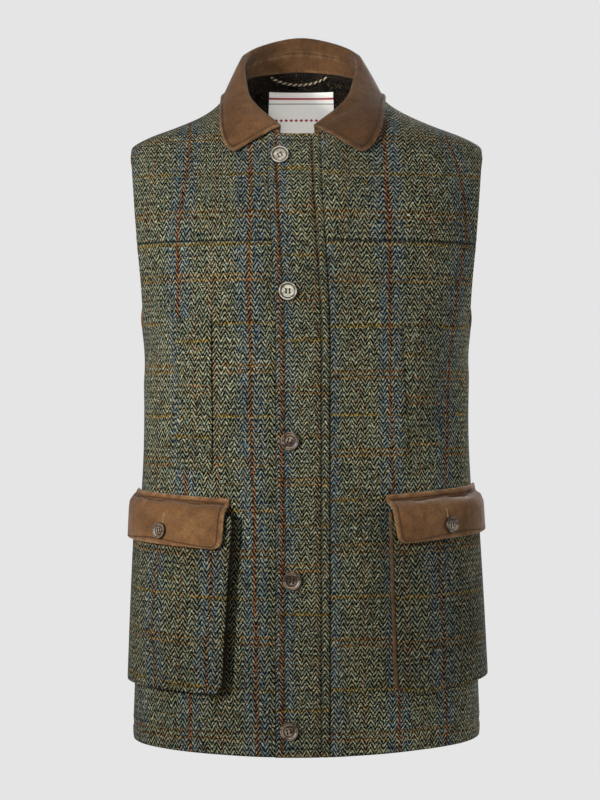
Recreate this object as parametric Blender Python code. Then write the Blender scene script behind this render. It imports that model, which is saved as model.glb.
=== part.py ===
# Tweed body warmer, worn form, as a set of sewn pieces.
# Sizes are in millimetres until the last step, which turns them to metres.
# +Z is up, the front faces -Y, and the wearer's left is at +X.
# The origin lies inside the base of the neck, where the wearer's shoulders carry the garment.

import math
from collections import namedtuple

import bpy
import bmesh
import numpy as np
from mathutils import Vector

MM = 0.001

# Driving dimensions
SEAM_GAP = 0.3          # between pieces sewn edge to edge
TWEED = 2.5             # wall of the tweed with its backing
MOLESKIN = 2.6          # two layers of collar and flap cloth
FACING = 1.3            # armhole facing
LINING = 1.0            # lining of the upper back
LAYER_GAP = 0.8         # between a layer and the panel that it lies on
UNDER_GAP = 1.6         # between the tweed and what is sewn inside it

HEM_Z = -694.0
HEM_SIDE_RISE = 7.0
HEM_TILT = 2.0          # rise of the hem towards the wearer's left
HEM_EASE = 110.0        # height over which the hem's rise fades out
YOKE_Z = -143.0
UNDERARM_Z = -240.0
SHOULDER_TIP_Z = -31.0
ARMHOLE_SCOOP_FRONT = 60.0
ARMHOLE_SCOOP_BACK = 40.0
FACING_WIDTH = 25.0
LINING_HEM_Z = -272.0

PLACKET_FREE_X = -33.0
PLACKET_SEAM_X = 25.0
UNDERLAP_X = 18.0       # how far the right front runs under the placket
PLACKET_EASE = 45.0     # width over which the left front sinks back from the placket's level
NECK_FRONT_Z = -26.0    # neckline near the centre front

# Rings of the body form, from the hem up to the neck
Section = namedtuple("Section", "z half_width front back corner")
SECTIONS = (
    Section(-730, 195.5, 143, 131, 2.35),
    Section(-650, 192.5, 142, 129, 2.35),
    Section(-538, 188.5, 137, 124, 2.4),
    Section(-426, 184.5, 134, 114, 2.4),
    Section(-358, 181.0, 136, 108, 2.4),
    Section(-308, 180.0, 139, 110, 2.4),
    Section(-246, 182.5, 142, 117, 2.4),
    Section(-200, 190.0, 142, 122, 2.4),
    Section(-150, 197.0, 138, 125, 2.4),
    Section(-100, 200.5, 128, 121, 2.4),
    Section(-60, 200.5, 115, 112, 2.35),
    Section(-42, 198.5, 108, 107, 2.35),
    Section(-31, 193.0, 103, 103, 2.3),
    Section(-22, 176.0, 99, 99.5, 2.3),
    Section(-11, 146.5, 93, 95, 2.3),
    Section(0, 120.5, 86, 90, 2.3),
    Section(12, 100.5, 78, 84, 2.25),
    Section(23, 89.0, 70, 78, 2.2),
    Section(34, 79.0, 61, 73, 2.15),
    Section(46, 74.0, 53, 68, 2.1),
    Section(62, 71.0, 46, 63, 2.1),
    Section(80, 70.0, 44, 61, 2.1),
)

# The seam between the body and the collar, by angle round the neck from the centre front
NeckPoint = namedtuple("NeckPoint", "angle z")
NECKLINE = (
    NeckPoint(0, -27), NeckPoint(12, -25.5), NeckPoint(22, -18), NeckPoint(36, -5),
    NeckPoint(52, 11), NeckPoint(70, 27), NeckPoint(90, 40), NeckPoint(118, 50),
    NeckPoint(148, 58), NeckPoint(180, 61), NeckPoint(212, 58),
)

# The collar's roll line and outer edge, by angle round the neck from the centre front
CollarPoint = namedtuple("CollarPoint", "angle roll_radius roll_z edge_x edge_y edge_z")
COLLAR = (
    CollarPoint(10.5, 100.5, -20.6, 71, -112, -48),
    CollarPoint(18, 96, -11.5, 80, -107, -38),
    CollarPoint(28, 90, -1, 87, -95, -21),
    CollarPoint(39, 85, 12.5, 90, -70, -1),
    CollarPoint(55, 73.5, 33, 90.5, -38, 15),
    CollarPoint(83, 65, 60, 88.5, -4, 24),
    CollarPoint(115, 62.5, 76.5, 84, 34, 29),
    CollarPoint(139, 61, 87, 63, 62, 35),
    CollarPoint(180, 59, 96.5, 0, 80, 40),
    CollarPoint(221, 61, 87, -63, 62, 35),
)
# Places round the neck that body and collar share, from the collar's front corner to the centre back
NECK_ANGLES = (10.5, 15, 21, 30, 42, 56, 72, 90, 108, 126, 144, 162, 180)
STAND_SHARE = 0.6       # part of the collar's height that is stand
ROLL_RADIUS = 2.6
COLLAR_BULGE = 1.5      # how far the fall swells out of its straight line
COLLAR_GAP = 1.6        # between the fall and the front
PLACKET_CLEAR = 1.2     # between the fall and the placket
FALL_FREE = 8.0         # height over the neck seam from which the fall no longer rests on the body

# The neck sits a little towards the wearer's right
LEAN_SIDE = 6.0
LEAN_FRONT = 4.0
LEAN_TOP_Z = -20.0
LEAN_LOW_Z = -260.0
LEAN_NEAR_X = 60.0
LEAN_FAR_X = 125.0

# Soft folds of the body, each a ridge (+) or trough (-) along a line on the form
Fold = namedtuple("Fold", "angle_a z_a angle_b z_b width height")
FOLDS = (
    Fold(-74, -255, -46, -330, 22, -2.4),
    Fold(-80, -300, -70, -420, 20, 1.8),
    Fold(74, -250, 50, -345, 24, -2.2),
    Fold(79, -290, 66, -430, 18, 2.0),
    Fold(16, -215, 20, -640, 20, -1.6),
    Fold(-22, -500, -20, -690, 22, 1.8),
    Fold(34, -640, 30, -700, 24, 1.8),
    Fold(118, -275, 140, -370, 26, -2.6),
    Fold(-118, -280, -136, -380, 28, -2.8),
    Fold(160, -330, 166, -560, 30, 2.2),
    Fold(-158, -300, -168, -600, 26, 2.0),
    Fold(128, -470, 134, -690, 30, -2.2),
    Fold(-130, -500, -126, -695, 26, -2.0),
)
FOLD_RADIUS = 150.0     # turns a fold's angle into a distance

# Bellows pockets: standing off the front at its four corners
Pocket = namedtuple(
    "Pocket", "side inner_x inner_low_x outer_y top_z outer_rise bottom_z bottom_rise "
    "inner_top inner_low outer_top outer_low flap_in flap_low_in flap_drop flap_outer_drop button_share")
POCKETS = {
    "right": Pocket(-1, 74.5, 85.5, -22, -419.5, 8, -627, 6, 15.5, 17, 7, 8.5, 8.2, 9, 55, 52, 0.45),
    "left": Pocket(1, 86, 92, -22, -415, 10, -628, 13, 15, 20, 6.5, 11.5, -2.2, 5, 53, 50, 0.41),
}
POCKET_WIDTH = 165.0
POCKET_CROWN = 4.0      # swell of the pocket's middle
FLAP_DROP = 58.0        # of the flap's pattern, which each pocket scales to its own
FLAP_SPREAD = 2.5       # how far the flap reaches past the pocket's outer edge
FLAP_CORNER = 11.0
FLAP_LATE = 1.2         # how much later the flap lifts off at the side than near the front
POCKET_CORNER = 12.0
POCKET_MOUTH_DROP = 18.0
GUSSET_CLOTH = 1.2
GUSSET_FOLD = 5.0       # how far the gusset's fold runs in under the pocket
GUSSET_INSET = 1.8      # from the pocket's edge to the gusset's middle
GUSSET_FOOT = 0.9       # height of the gusset's foot over the front
GUSSET_TOP = 1.1        # from the gusset's top to the pocket's cloth

# Upright welts of the hand pockets
WELT_CLOTH = 1.8
WELT_GAP = 1.1
Welt = namedtuple("Welt", "side inner_x inner_low_x outer_x outer_low_x top_z inner_low_z outer_low_z")
WELTS = {
    "right": Welt(-1, 101, 101, 143, 143, -225, -390, -388),
    "left": Welt(1, 102, 112, 141, 146, -234, -391, -377),
}

# Buttons
BUTTON_RADIUS = 10.0
ButtonPlace = namedtuple("ButtonPlace", "x z")
BUTTONS = (
    ButtonPlace(-19.0, -52.0), ButtonPlace(-18.0, -198.0), ButtonPlace(-17.6, -357.0),
    ButtonPlace(-15.5, -506.5), ButtonPlace(-18.5, -665.5),
)
# Turned profile of a button: distance from the axis and height
BUTTON_PROFILE = ((0, 0), (8.2, 0), (9.9, 1.1), (10, 2.2), (9.1, 3.2), (7.9, 2.7), (6.6, 1.9), (0, 1.7))
BUTTON_SIDES = 20
BUTTON_STANDOFF = 0.6
FLAP_BUTTON_RADIUS = 9.0

# Neck label and hanging loop
LABEL_WIDTH = 79.0
LABEL_TOP_Z = 41.0
LABEL_LOW_Z = -18.0
LABEL_THICKNESS = 0.8
LABEL_GAP = 1.7
LOOP_RADIUS = 1.4
LoopPoint = namedtuple("LoopPoint", "x z inside")
LOOP_ROUTE = (
    LoopPoint(-38, 55.5, 8.0), LoopPoint(-30, 52.8, 8.3), LoopPoint(-18, 50.4, 8.8), LoopPoint(-4, 49.3, 9.0),
    LoopPoint(10, 50.2, 8.8), LoopPoint(22, 52.6, 8.5), LoopPoint(32, 55.8, 8.0),
)

# Mesh steps
COLUMNS = 11
SIDE_ROWS = 12
ARM_ROWS = 6
YOKE_EDGE_ROWS = 4
BACK_EDGE_ROWS = 10

FORM_Z = np.array([s.z for s in SECTIONS], float)


def hermite(at, xs, ys):
    """Smooth curve through a table's points."""
    at = np.asarray(at, float)
    slopes = np.gradient(ys, xs)
    i = np.clip(np.searchsorted(xs, at) - 1, 0, len(xs) - 2)
    span = xs[i + 1] - xs[i]
    t = np.clip((at - xs[i]) / span, 0.0, 1.0)
    return (ys[i] * (2 * t ** 3 - 3 * t ** 2 + 1) + slopes[i] * span * (t ** 3 - 2 * t ** 2 + t)
            + ys[i + 1] * (3 * t ** 2 - 2 * t ** 3) + slopes[i + 1] * span * (t ** 3 - t ** 2))


def section_value(z, column):
    return hermite(z, FORM_Z, np.array([getattr(s, column) for s in SECTIONS], float))


def smooth_step(value, low, high):
    t = np.clip((value - low) / (high - low), 0.0, 1.0)
    return t * t * (3 - 2 * t)


def fold_height(angle, z):
    """Sum of the soft folds at a place on the form."""
    across = angle * FOLD_RADIUS
    total = np.zeros_like(across)
    for fold in FOLDS:
        ax = math.radians(fold.angle_a) * FOLD_RADIUS
        bx = math.radians(fold.angle_b) * FOLD_RADIUS
        dx, dz = bx - ax, fold.z_b - fold.z_a
        along = np.clip(((across - ax) * dx + (z - fold.z_a) * dz) / (dx * dx + dz * dz), 0.0, 1.0)
        off = np.hypot(across - ax - along * dx, z - fold.z_a - along * dz)
        total += fold.height * np.exp(-(off / fold.width) ** 2)
    return total


def form(angle, z):
    """Point of the smooth body form: angle in radians from the centre front towards +X."""
    angle, z = np.broadcast_arrays(np.asarray(angle, float), np.asarray(z, float))
    wide = section_value(z, "half_width")
    front = section_value(z, "front")
    back = section_value(z, "back")
    power = section_value(z, "corner")
    cosine, sine = np.cos(angle), np.sin(angle)
    deep = np.where(cosine > 0, front, back)
    radius = ((np.abs(sine) / wide) ** power + (np.abs(cosine) / deep) ** power) ** (-1 / power)
    radius = radius + fold_height((angle + math.pi) % (2 * math.pi) - math.pi, z)
    return np.stack([radius * sine, -radius * cosine, z], axis=-1)


def form_normal(angle, z):
    step_a, step_z = 0.01, 1.0
    along = form(angle + step_a, z) - form(angle - step_a, z)
    up = form(angle, z + step_z) - form(angle, z - step_z)
    normal = np.cross(along, up)
    return normal / np.linalg.norm(normal, axis=-1, keepdims=True)


def on_form(angle, z, out):
    """Point at a height above (or, below zero, under) the form's surface."""
    angle, z = np.broadcast_arrays(np.asarray(angle, float), np.asarray(z, float))
    out = np.broadcast_to(np.asarray(out, float), angle.shape)
    return form(angle, z) + form_normal(angle, z) * out[..., None]


def angle_at_x(x, z):
    """Angle of the front point with this x."""
    wide, front, power = (section_value(z, c) for c in ("half_width", "front", "corner"))
    deep = front * (1 - (np.abs(x) / wide) ** power) ** (1 / power)
    return np.arctan2(x, deep)


def angle_at_y(y, z):
    """Angle of the +X point with this y: negative y is in front of the side seam."""
    wide, power = section_value(z, "half_width"), section_value(z, "corner")
    deep = np.where(np.asarray(y) < 0, section_value(z, "front"), section_value(z, "back"))
    across = wide * (1 - (np.abs(y) / deep) ** power) ** (1 / power)
    return np.arctan2(across, -np.asarray(y, float))


def angle_at_back_x(x, z):
    """Angle of the back point with this x."""
    wide, back, power = (section_value(z, c) for c in ("half_width", "back", "corner"))
    deep = back * (1 - (np.abs(x) / wide) ** power) ** (1 / power)
    return np.arctan2(x, -deep)


def neck_z(angle):
    turned = np.degrees(np.abs((np.asarray(angle, float) + math.pi) % (2 * math.pi) - math.pi))
    return hermite(turned, np.array([p.angle for p in NECKLINE], float), np.array([p.z for p in NECKLINE], float))


def armhole(t, back=False):
    """Angle and height of the armhole's edge: t runs from the underarm to the shoulder tip."""
    t = np.asarray(t, float)
    z = UNDERARM_Z + (SHOULDER_TIP_Z - UNDERARM_Z) * (1 - np.cos(math.pi * t)) / 2
    scoop = ARMHOLE_SCOOP_BACK if back else -ARMHOLE_SCOOP_FRONT
    bend = 0.95 if back else 0.82
    y = scoop * np.sin(math.pi * t ** bend) ** 0.8
    return angle_at_y(y, z), z


def armhole_t_at(z):
    return math.acos(1 - 2 * (z - UNDERARM_Z) / (SHOULDER_TIP_Z - UNDERARM_Z)) / math.pi


def lean(points):
    """Shifts the neck towards the wearer's right, fading out over chest and shoulders, and tilts the hem."""
    points = np.array(points, float)
    amount = LEAN_SIDE + LEAN_FRONT * np.clip(-points[..., 1] / 100, 0, 1)
    high = smooth_step(points[..., 2], LEAN_LOW_Z, LEAN_TOP_Z)
    near = 1 - smooth_step(np.abs(points[..., 0]), LEAN_NEAR_X, LEAN_FAR_X)
    low = 1 - smooth_step(points[..., 2], HEM_Z, HEM_Z + HEM_EASE)
    tilt = HEM_TILT * points[..., 0] / section_value(HEM_Z, "half_width")
    points[..., 0] -= amount * high * near
    points[..., 2] += tilt * low
    return points


def spread(start, stop, count):
    return np.linspace(start, stop, count + 1)


def blend_grid(inner, outer, columns, bend=1.0):
    """Rows from an inner to an outer edge, both given as lists of (angle, z)."""
    inner, outer = np.array(inner, float), np.array(outer, float)
    share = spread(0, 1, columns)[None, :]
    angle = inner[:, :1] + (outer[:, :1] - inner[:, :1]) * share
    z = inner[:, 1:] + (outer[:, 1:] - inner[:, 1:]) * share ** bend
    return angle, z


# Materials
def finish(name, colour, roughness):
    material = bpy.data.materials.new(name)
    material.use_nodes = True
    shader = material.node_tree.nodes["Principled BSDF"]
    shader.inputs["Base Color"].default_value = (*colour, 1.0)
    shader.inputs["Roughness"].default_value = roughness
    shader.inputs["Metallic"].default_value = 0.0
    material.diffuse_color = (*colour, 1.0)
    return material


def add_object(name, mesh, material):
    item = bpy.data.objects.new(name, mesh)
    mesh.materials.append(material)
    bpy.context.scene.collection.objects.link(item)
    return item


def shell(name, patches, material):
    """Closed wall between an outer and an inner surface, given as pairs of point grids."""
    bm = bmesh.new()
    number = bm.verts.layers.int.new("number")
    inner_points = []
    for outer, inner in patches:
        outer, inner = lean(outer) * MM, lean(inner) * MM
        rows, columns = outer.shape[0] - 1, outer.shape[1] - 1
        made = bmesh.ops.create_grid(bm, x_segments=columns, y_segments=rows, size=1.0)
        for vert in made["verts"]:
            column = round((vert.co.x + 1) / 2 * columns)
            row = round((vert.co.y + 1) / 2 * rows)
            vert.co = outer[row, column]
            vert[number] = len(inner_points)
            inner_points.append(inner[row, column])
    bmesh.ops.remove_doubles(bm, verts=bm.verts[:], dist=1e-5)
    made = bmesh.ops.extrude_face_region(bm, geom=bm.faces[:])
    for item in made["geom"]:
        if isinstance(item, bmesh.types.BMVert):
            item.co = inner_points[item[number]]
    bmesh.ops.recalc_face_normals(bm, faces=bm.faces[:])
    mesh = bpy.data.meshes.new(name)
    bm.to_mesh(mesh)
    bm.free()
    mesh.shade_smooth()
    mesh.set_sharp_from_angle(angle=math.radians(50))
    return add_object(name, mesh, material)


def skin(angle, z, outer, inner):
    """Pair of point grids on the form."""
    return on_form(angle, z, outer), on_form(angle, z, inner)


def both_halves(outer, inner):
    """A half that ends in its last column at the centre, and its mirror image."""
    outer[:, -1, 0] = 0.0
    inner[:, -1, 0] = 0.0
    flip = np.array([-1.0, 1.0, 1.0])
    return [(outer, inner), (outer * flip, inner * flip)]


def sheet_normals(points):
    """Normals of a free grid of points, from its neighbours."""
    rows = np.gradient(points, axis=0)
    columns = np.gradient(points, axis=1)
    normal = np.cross(columns, rows)
    return normal / np.linalg.norm(normal, axis=-1, keepdims=True)


def thickened(points, thickness):
    normal = sheet_normals(points)
    return points + normal * thickness / 2, points - normal * thickness / 2


def push_out(points, gap):
    """Moves points that lie in or too near the body form out to a gap above it, below the neck seam."""
    points = np.array(points, float)
    for _ in range(4):
        angle = np.arctan2(points[..., 0], -points[..., 1])
        z = points[..., 2]
        base, normal = form(angle, z), form_normal(angle, z)
        height = np.sum((points - base) * normal, axis=-1)
        rests = 1 - smooth_step(z - neck_z(angle), 0, FALL_FREE)
        points = points + normal * (np.maximum(gap - height, 0.0) * rests)[..., None]
    return points


# Body panels
def hem_drop(angle, z):
    """Height with the hem's rise towards the side seams added, fading out above the hem."""
    return z + HEM_SIDE_RISE * np.sin(angle) ** 2 * (1 - smooth_step(z, HEM_Z, HEM_Z + HEM_EASE))


def gap_angle(z):
    return SEAM_GAP / 2 / section_value(z, "half_width")


def side_levels():
    return spread(HEM_Z, UNDERARM_Z, SIDE_ROWS)


def front_grid(inner_x):
    """Front below the yoke seam; inner_x is its inner edge, below zero past the centre."""
    top = YOKE_Z - SEAM_GAP / 2
    low = side_levels()
    t = spread(0, armhole_t_at(top), ARM_ROWS)[1:]
    arm_angle, arm_z = armhole(t)
    inner_z = np.concatenate([spread(HEM_Z, UNDERARM_Z - 6, SIDE_ROWS), spread(UNDERARM_Z - 6, top, ARM_ROWS)[1:]])
    inner = np.stack([angle_at_x(inner_x, inner_z), inner_z], axis=1)
    outer = np.concatenate([np.stack([math.pi / 2 - gap_angle(low), low], axis=1),
                            np.stack([arm_angle, arm_z], axis=1)])
    angle, z = blend_grid(inner, outer, COLUMNS)
    return angle, hem_drop(angle, z)


def yoke_grid(inner_x):
    """Front yoke, from its seam up to the neckline and the shoulder seam."""
    low = YOKE_Z + SEAM_GAP / 2
    corner = float(angle_at_x(inner_x, NECK_FRONT_Z))
    edge_z = spread(low, float(neck_z(corner)), YOKE_EDGE_ROWS)
    edge = np.stack([angle_at_x(inner_x, edge_z), edge_z], axis=1)
    corner = edge[-1, 0]
    neck_angle = np.radians([a for a in (0.0,) + NECK_ANGLES if a > math.degrees(corner) + 1 and a <= 90])
    neck_angle[-1] -= gap_angle(40.0)
    inner = np.concatenate([edge, np.stack([neck_angle, neck_z(neck_angle)], axis=1)])
    arm_angle, arm_z = armhole(spread(armhole_t_at(low), 1, len(inner) - 1))
    outer = np.stack([np.minimum(arm_angle, math.pi / 2 - gap_angle(arm_z)), arm_z], axis=1)
    angle, z = blend_grid(inner, outer, COLUMNS)
    angle[-1] = math.pi / 2 - gap_angle(z[-1])
    return angle, z


def back_grid():
    """Wearer's left half of the back."""
    low = side_levels()
    neck_angle = np.radians([a for a in NECK_ANGLES[::-1] if 90 <= a < 180])
    neck_angle[-1] += gap_angle(40.0)
    rows = BACK_EDGE_ROWS + len(neck_angle)
    centre_z = np.concatenate([low, spread(UNDERARM_Z, float(neck_z(math.pi)), BACK_EDGE_ROWS)[1:]])
    centre = np.stack([np.full_like(centre_z, math.pi), centre_z], axis=1)
    inner = np.concatenate([centre, np.stack([neck_angle, neck_z(neck_angle)], axis=1)])
    arm_angle, arm_z = armhole(spread(0, 1, rows)[1:], back=True)
    arm_angle = np.maximum(arm_angle, math.pi / 2 + gap_angle(arm_z))
    outer = np.concatenate([np.stack([math.pi / 2 + gap_angle(low), low], axis=1),
                            np.stack([arm_angle, arm_z], axis=1)])
    angle, z = blend_grid(inner, outer, COLUMNS)
    angle[-1] = math.pi / 2 + gap_angle(z[-1])
    return angle, hem_drop(angle, z)


def placket_rise(angle, z):
    """The left front rises to the placket's level next to its seam."""
    x = form(angle, z)[..., 0]
    return (LAYER_GAP + TWEED) * (1 - smooth_step(x, PLACKET_SEAM_X, PLACKET_SEAM_X + PLACKET_EASE))


def build_panels(tweed):
    angle, z = front_grid(-UNDERLAP_X)
    shell("front_right", [skin(-angle, z, 0, -TWEED)], tweed)
    angle, z = yoke_grid(-UNDERLAP_X)
    shell("yoke_right", [skin(-angle, z, 0, -TWEED)], tweed)
    seam_x = PLACKET_SEAM_X + SEAM_GAP / 2
    for name, (angle, z) in (("front_left", front_grid(seam_x)), ("yoke_left", yoke_grid(seam_x))):
        rise = placket_rise(angle, z)
        shell(name, [skin(angle, z, rise, rise - TWEED)], tweed)
    angle, z = back_grid()
    shell("back", [skin(angle, z, 0, -TWEED), skin(-angle, z, 0, -TWEED)], tweed)


def placket_levels():
    left_front, left_yoke = front_grid(PLACKET_SEAM_X), yoke_grid(PLACKET_SEAM_X)
    return np.concatenate([left_front[1][:-1, 0], [YOKE_Z], left_yoke[1][1:YOKE_EDGE_ROWS, 0]])


def placket_grid():
    levels = placket_levels()
    x = spread(PLACKET_FREE_X, PLACKET_SEAM_X - SEAM_GAP / 2, 3)
    angle = angle_at_x(x[None, :], levels[:, None])
    z = np.repeat(levels[:, None], len(x), axis=1)
    top_angle = angle_at_x(x, NECK_FRONT_Z)
    top_z = neck_z(top_angle)
    return np.vstack([angle, angle_at_x(x, top_z)]), np.vstack([z, top_z])


def build_placket(tweed):
    angle, z = placket_grid()
    shell("placket", [skin(angle, z, LAYER_GAP + TWEED, LAYER_GAP)], tweed)


# Armhole facings and the lining of the upper back
def armhole_ring(move):
    """Closed ring of points round the left armhole, moved away from its edge on the form."""
    t = spread(0, 1, 15)
    front_angle, front_z = armhole(t)
    back_angle, back_z = armhole(t[::-1], back=True)
    angle = np.concatenate([front_angle[:-1], back_angle])
    z = np.concatenate([front_z[:-1], back_z])
    edge = form(angle, z)
    forward = np.roll(edge[:-1], -1, axis=0) - np.roll(edge[:-1], 1, axis=0)
    forward = np.vstack([forward, forward[:1]])
    away = np.cross(form_normal(angle, z), forward)
    away /= np.linalg.norm(away, axis=-1, keepdims=True)
    moved = edge + away * move
    return np.arctan2(moved[:, 0], -moved[:, 1]), moved[:, 2]


def build_facings(moleskin):
    rings = [armhole_ring(move) for move in (0.6, FACING_WIDTH / 2, FACING_WIDTH)]
    angle = np.stack([r[0] for r in rings], axis=1)
    z = np.stack([r[1] for r in rings], axis=1)
    outer = -TWEED - UNDER_GAP
    shell("armhole_facing_left", [skin(angle, z, outer, outer - FACING)], moleskin)
    shell("armhole_facing_right", [skin(-angle, z, outer, outer - FACING)], moleskin)


def lining_grid():
    ring_angle, ring_z = armhole_ring(FACING_WIDTH + 1.0)
    back_angle, back_z = ring_angle[15:][::-1], ring_z[15:][::-1]
    rows = len(back_angle)
    back_angle = np.maximum(back_angle, math.pi / 2 + gap_angle(back_z))
    neck_angle = np.radians([a for a in NECK_ANGLES[::-1] if 90 <= a < 180])
    neck_angle[-1] += gap_angle(40.0)
    centre_z = spread(LINING_HEM_Z, float(neck_z(math.pi)) - 1.0, rows - len(neck_angle))
    centre = np.stack([np.full_like(centre_z, math.pi), centre_z], axis=1)
    inner = np.concatenate([centre, np.stack([neck_angle, neck_z(neck_angle) - 1.0], axis=1)])
    outer = np.concatenate([[[math.pi / 2 + gap_angle(LINING_HEM_Z), LINING_HEM_Z]],
                            np.stack([back_angle, back_z], axis=1)])
    angle, z = blend_grid(inner, outer, 8)
    angle[-1] = math.pi / 2 + gap_angle(z[-1])
    return angle, z


def build_lining(lining):
    angle, z = lining_grid()
    outer = -TWEED - UNDER_GAP
    shell("back_lining", [skin(angle, z, outer, outer - LINING), skin(-angle, z, outer, outer - LINING)], lining)


# Collar
def build_collar(moleskin):
    table = {name: np.array([getattr(p, name) for p in COLLAR], float) for name in CollarPoint._fields}
    at = {name: hermite(NECK_ANGLES, table["angle"], table[name]) for name in CollarPoint._fields}
    seam_angle = np.radians(NECK_ANGLES)
    roll = np.stack([at["roll_radius"] * np.sin(seam_angle), -at["roll_radius"] * np.cos(seam_angle),
                     at["roll_z"]], axis=1)
    edge = np.stack([at["edge_x"], at["edge_y"], at["edge_z"]], axis=1)
    seam_z = neck_z(seam_angle)
    seam = form(seam_angle, seam_z)
    normal = form_normal(seam_angle, seam_z)
    round_neck = np.gradient(seam, axis=0)
    up = np.cross(round_neck, normal)
    up = up / np.linalg.norm(up, axis=1, keepdims=True)
    up = np.where(up[:, 2:] < 0, -up, up)
    foot = seam + up * SEAM_GAP
    rise = roll - foot
    height = np.linalg.norm(rise, axis=1, keepdims=True)
    wall = rise / height
    outward = np.cross(round_neck, wall)
    outward = outward / np.linalg.norm(outward, axis=1, keepdims=True)
    outward = np.where(np.sum(outward * normal, axis=1, keepdims=True) < 0, -outward, outward)

    def stand_pair(share, shift, mitre):
        middle = foot + wall * (height * share + shift)
        direction = outward * (1 - mitre) + normal * mitre
        return middle, middle - direction * MOLESKIN

    half = [stand_pair(0.0, 0.0, 1.0), stand_pair(STAND_SHARE / 2, 0.0, 0.3),
            stand_pair(STAND_SHARE, -SEAM_GAP / 2, 0.0)]
    outer = np.stack([p[0] for p in half], axis=0)
    inner = np.stack([p[1] for p in half], axis=0)
    shell("collar_stand", both_halves(outer, inner), moleskin)

    # The fall starts on the stand's top, rolls over and drapes down to its outer edge
    radius = np.minimum(ROLL_RADIUS, height * 0.5)
    middle_line = []
    centre_of_wall = -outward * MOLESKIN / 2
    for share in (STAND_SHARE, 0.82):
        shift = SEAM_GAP / 2 if share == STAND_SHARE else 0.0
        middle_line.append(foot + wall * (height * share + shift) + centre_of_wall)
    top = roll + centre_of_wall
    for turn in (0, 50, 100, 150):
        a = math.radians(turn)
        middle_line.append(top + wall * (radius * math.sin(a)) + outward * (radius * (1 - math.cos(a))))
    start = middle_line[-1]
    for share in (0.22, 0.48, 0.74, 1.0):
        point = start + (edge - start) * share
        bulge = outward * (COLLAR_BULGE * math.sin(math.pi * share) * np.minimum(height / 30, 1))
        middle_line.append(point + bulge)
    middle = np.stack(middle_line, axis=0)
    near_front = 1 - smooth_step(np.abs(middle[6:, :, 0]), 40, 80)
    gap = COLLAR_GAP + (LAYER_GAP + TWEED + PLACKET_CLEAR - COLLAR_GAP) * near_front
    middle[6:] = push_out(middle[6:], gap + MOLESKIN / 2)
    outer, inner = thickened(middle, MOLESKIN)
    shell("collar_fall", both_halves(outer, inner), moleskin)


# Pockets, flaps and welts
def pocket_place(pocket, across, down_z):
    """Angle for a share across the pocket, from its inner edge to its outer edge."""
    low = (pocket.top_z - down_z) / (pocket.top_z - pocket.bottom_z)
    inner_x = pocket.inner_x + (pocket.inner_low_x - pocket.inner_x) * np.clip(low, 0, 1)
    inner = angle_at_x(inner_x, down_z)
    outer = angle_at_y(pocket.outer_y, down_z)
    return inner + (outer - inner) * across


def pocket_standoff(pocket, across, down_z):
    low = np.clip((pocket.top_z - down_z) / (pocket.top_z - pocket.bottom_z), 0, 1)
    at_inner = pocket.inner_top + (pocket.inner_low - pocket.inner_top) * low
    at_outer = pocket.outer_top + (pocket.outer_low - pocket.outer_top) * low
    crown = POCKET_CROWN * np.sin(math.pi * np.clip(across, 0, 1)) * np.sin(math.pi * np.clip(low, 0, 1))
    return at_inner + (at_outer - at_inner) * across + crown


def rounded_inset(distance, radius):
    """How far a rounded corner pulls in at a distance from the end."""
    near = np.clip(distance, 0, radius)
    return radius - np.sqrt(radius ** 2 - (radius - near) ** 2)


def pocket_outline_z(pocket, across, level):
    """Height on the pocket: level 0 is the mouth, 1 the bottom edge."""
    top = pocket.top_z - POCKET_MOUTH_DROP + pocket.outer_rise * across
    bottom = pocket.bottom_z + pocket.bottom_rise * across
    return top + (bottom - top) * level


def build_pocket(name, pocket, tweed, moleskin):
    depth = pocket.top_z - POCKET_MOUTH_DROP - pocket.bottom_z
    levels = np.concatenate([spread(0, 1 - POCKET_CORNER / depth, 6),
                             1 - POCKET_CORNER / depth * np.array([0.55, 0.2, 0.0])])
    across = spread(0, 1, 8)
    inset = rounded_inset((1 - levels) * depth, POCKET_CORNER) / POCKET_WIDTH
    share = inset[:, None] + (1 - 2 * inset[:, None]) * across[None, :]
    z = pocket_outline_z(pocket, share, levels[:, None])
    angle = pocket_place(pocket, share, z) * pocket.side
    out = pocket_standoff(pocket, share, z)
    shell("pocket_front_" + name, [skin(angle, z, out, out - TWEED)], tweed)

    # The gusset runs down the inner side, along the bottom and up the outer side
    edge_share = np.concatenate([share[:, 0], share[-1, 1:-1], share[::-1, -1]])
    edge_z = np.concatenate([z[:, 0], z[-1, 1:-1], z[::-1, -1]])
    pull_share = np.sign(0.5 - edge_share) * (np.abs(edge_share - 0.5) > 0.3)
    at_bottom = np.clip((edge_z - pocket.bottom_z - pocket.bottom_rise * edge_share) / POCKET_CORNER, 0, 1)
    rows = []
    for rise, fold in ((0.0, 0.0), (0.5, 1.0), (1.0, 0.0)):
        moved_share = edge_share + pull_share * (GUSSET_INSET + fold * GUSSET_FOLD * at_bottom) / POCKET_WIDTH
        moved_z = edge_z + (1 - at_bottom) * (GUSSET_INSET + fold * GUSSET_FOLD)
        place = pocket_place(pocket, moved_share, moved_z) * pocket.side
        top = pocket_standoff(pocket, moved_share, moved_z) - TWEED - GUSSET_TOP
        rows.append(on_form(place, moved_z, GUSSET_FOOT + (top - GUSSET_FOOT) * rise))
    middle = np.stack(rows, axis=0)
    outer, inner = thickened(middle, GUSSET_CLOTH)
    shell("pocket_gusset_" + name, [(outer, inner)], moleskin)


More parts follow.
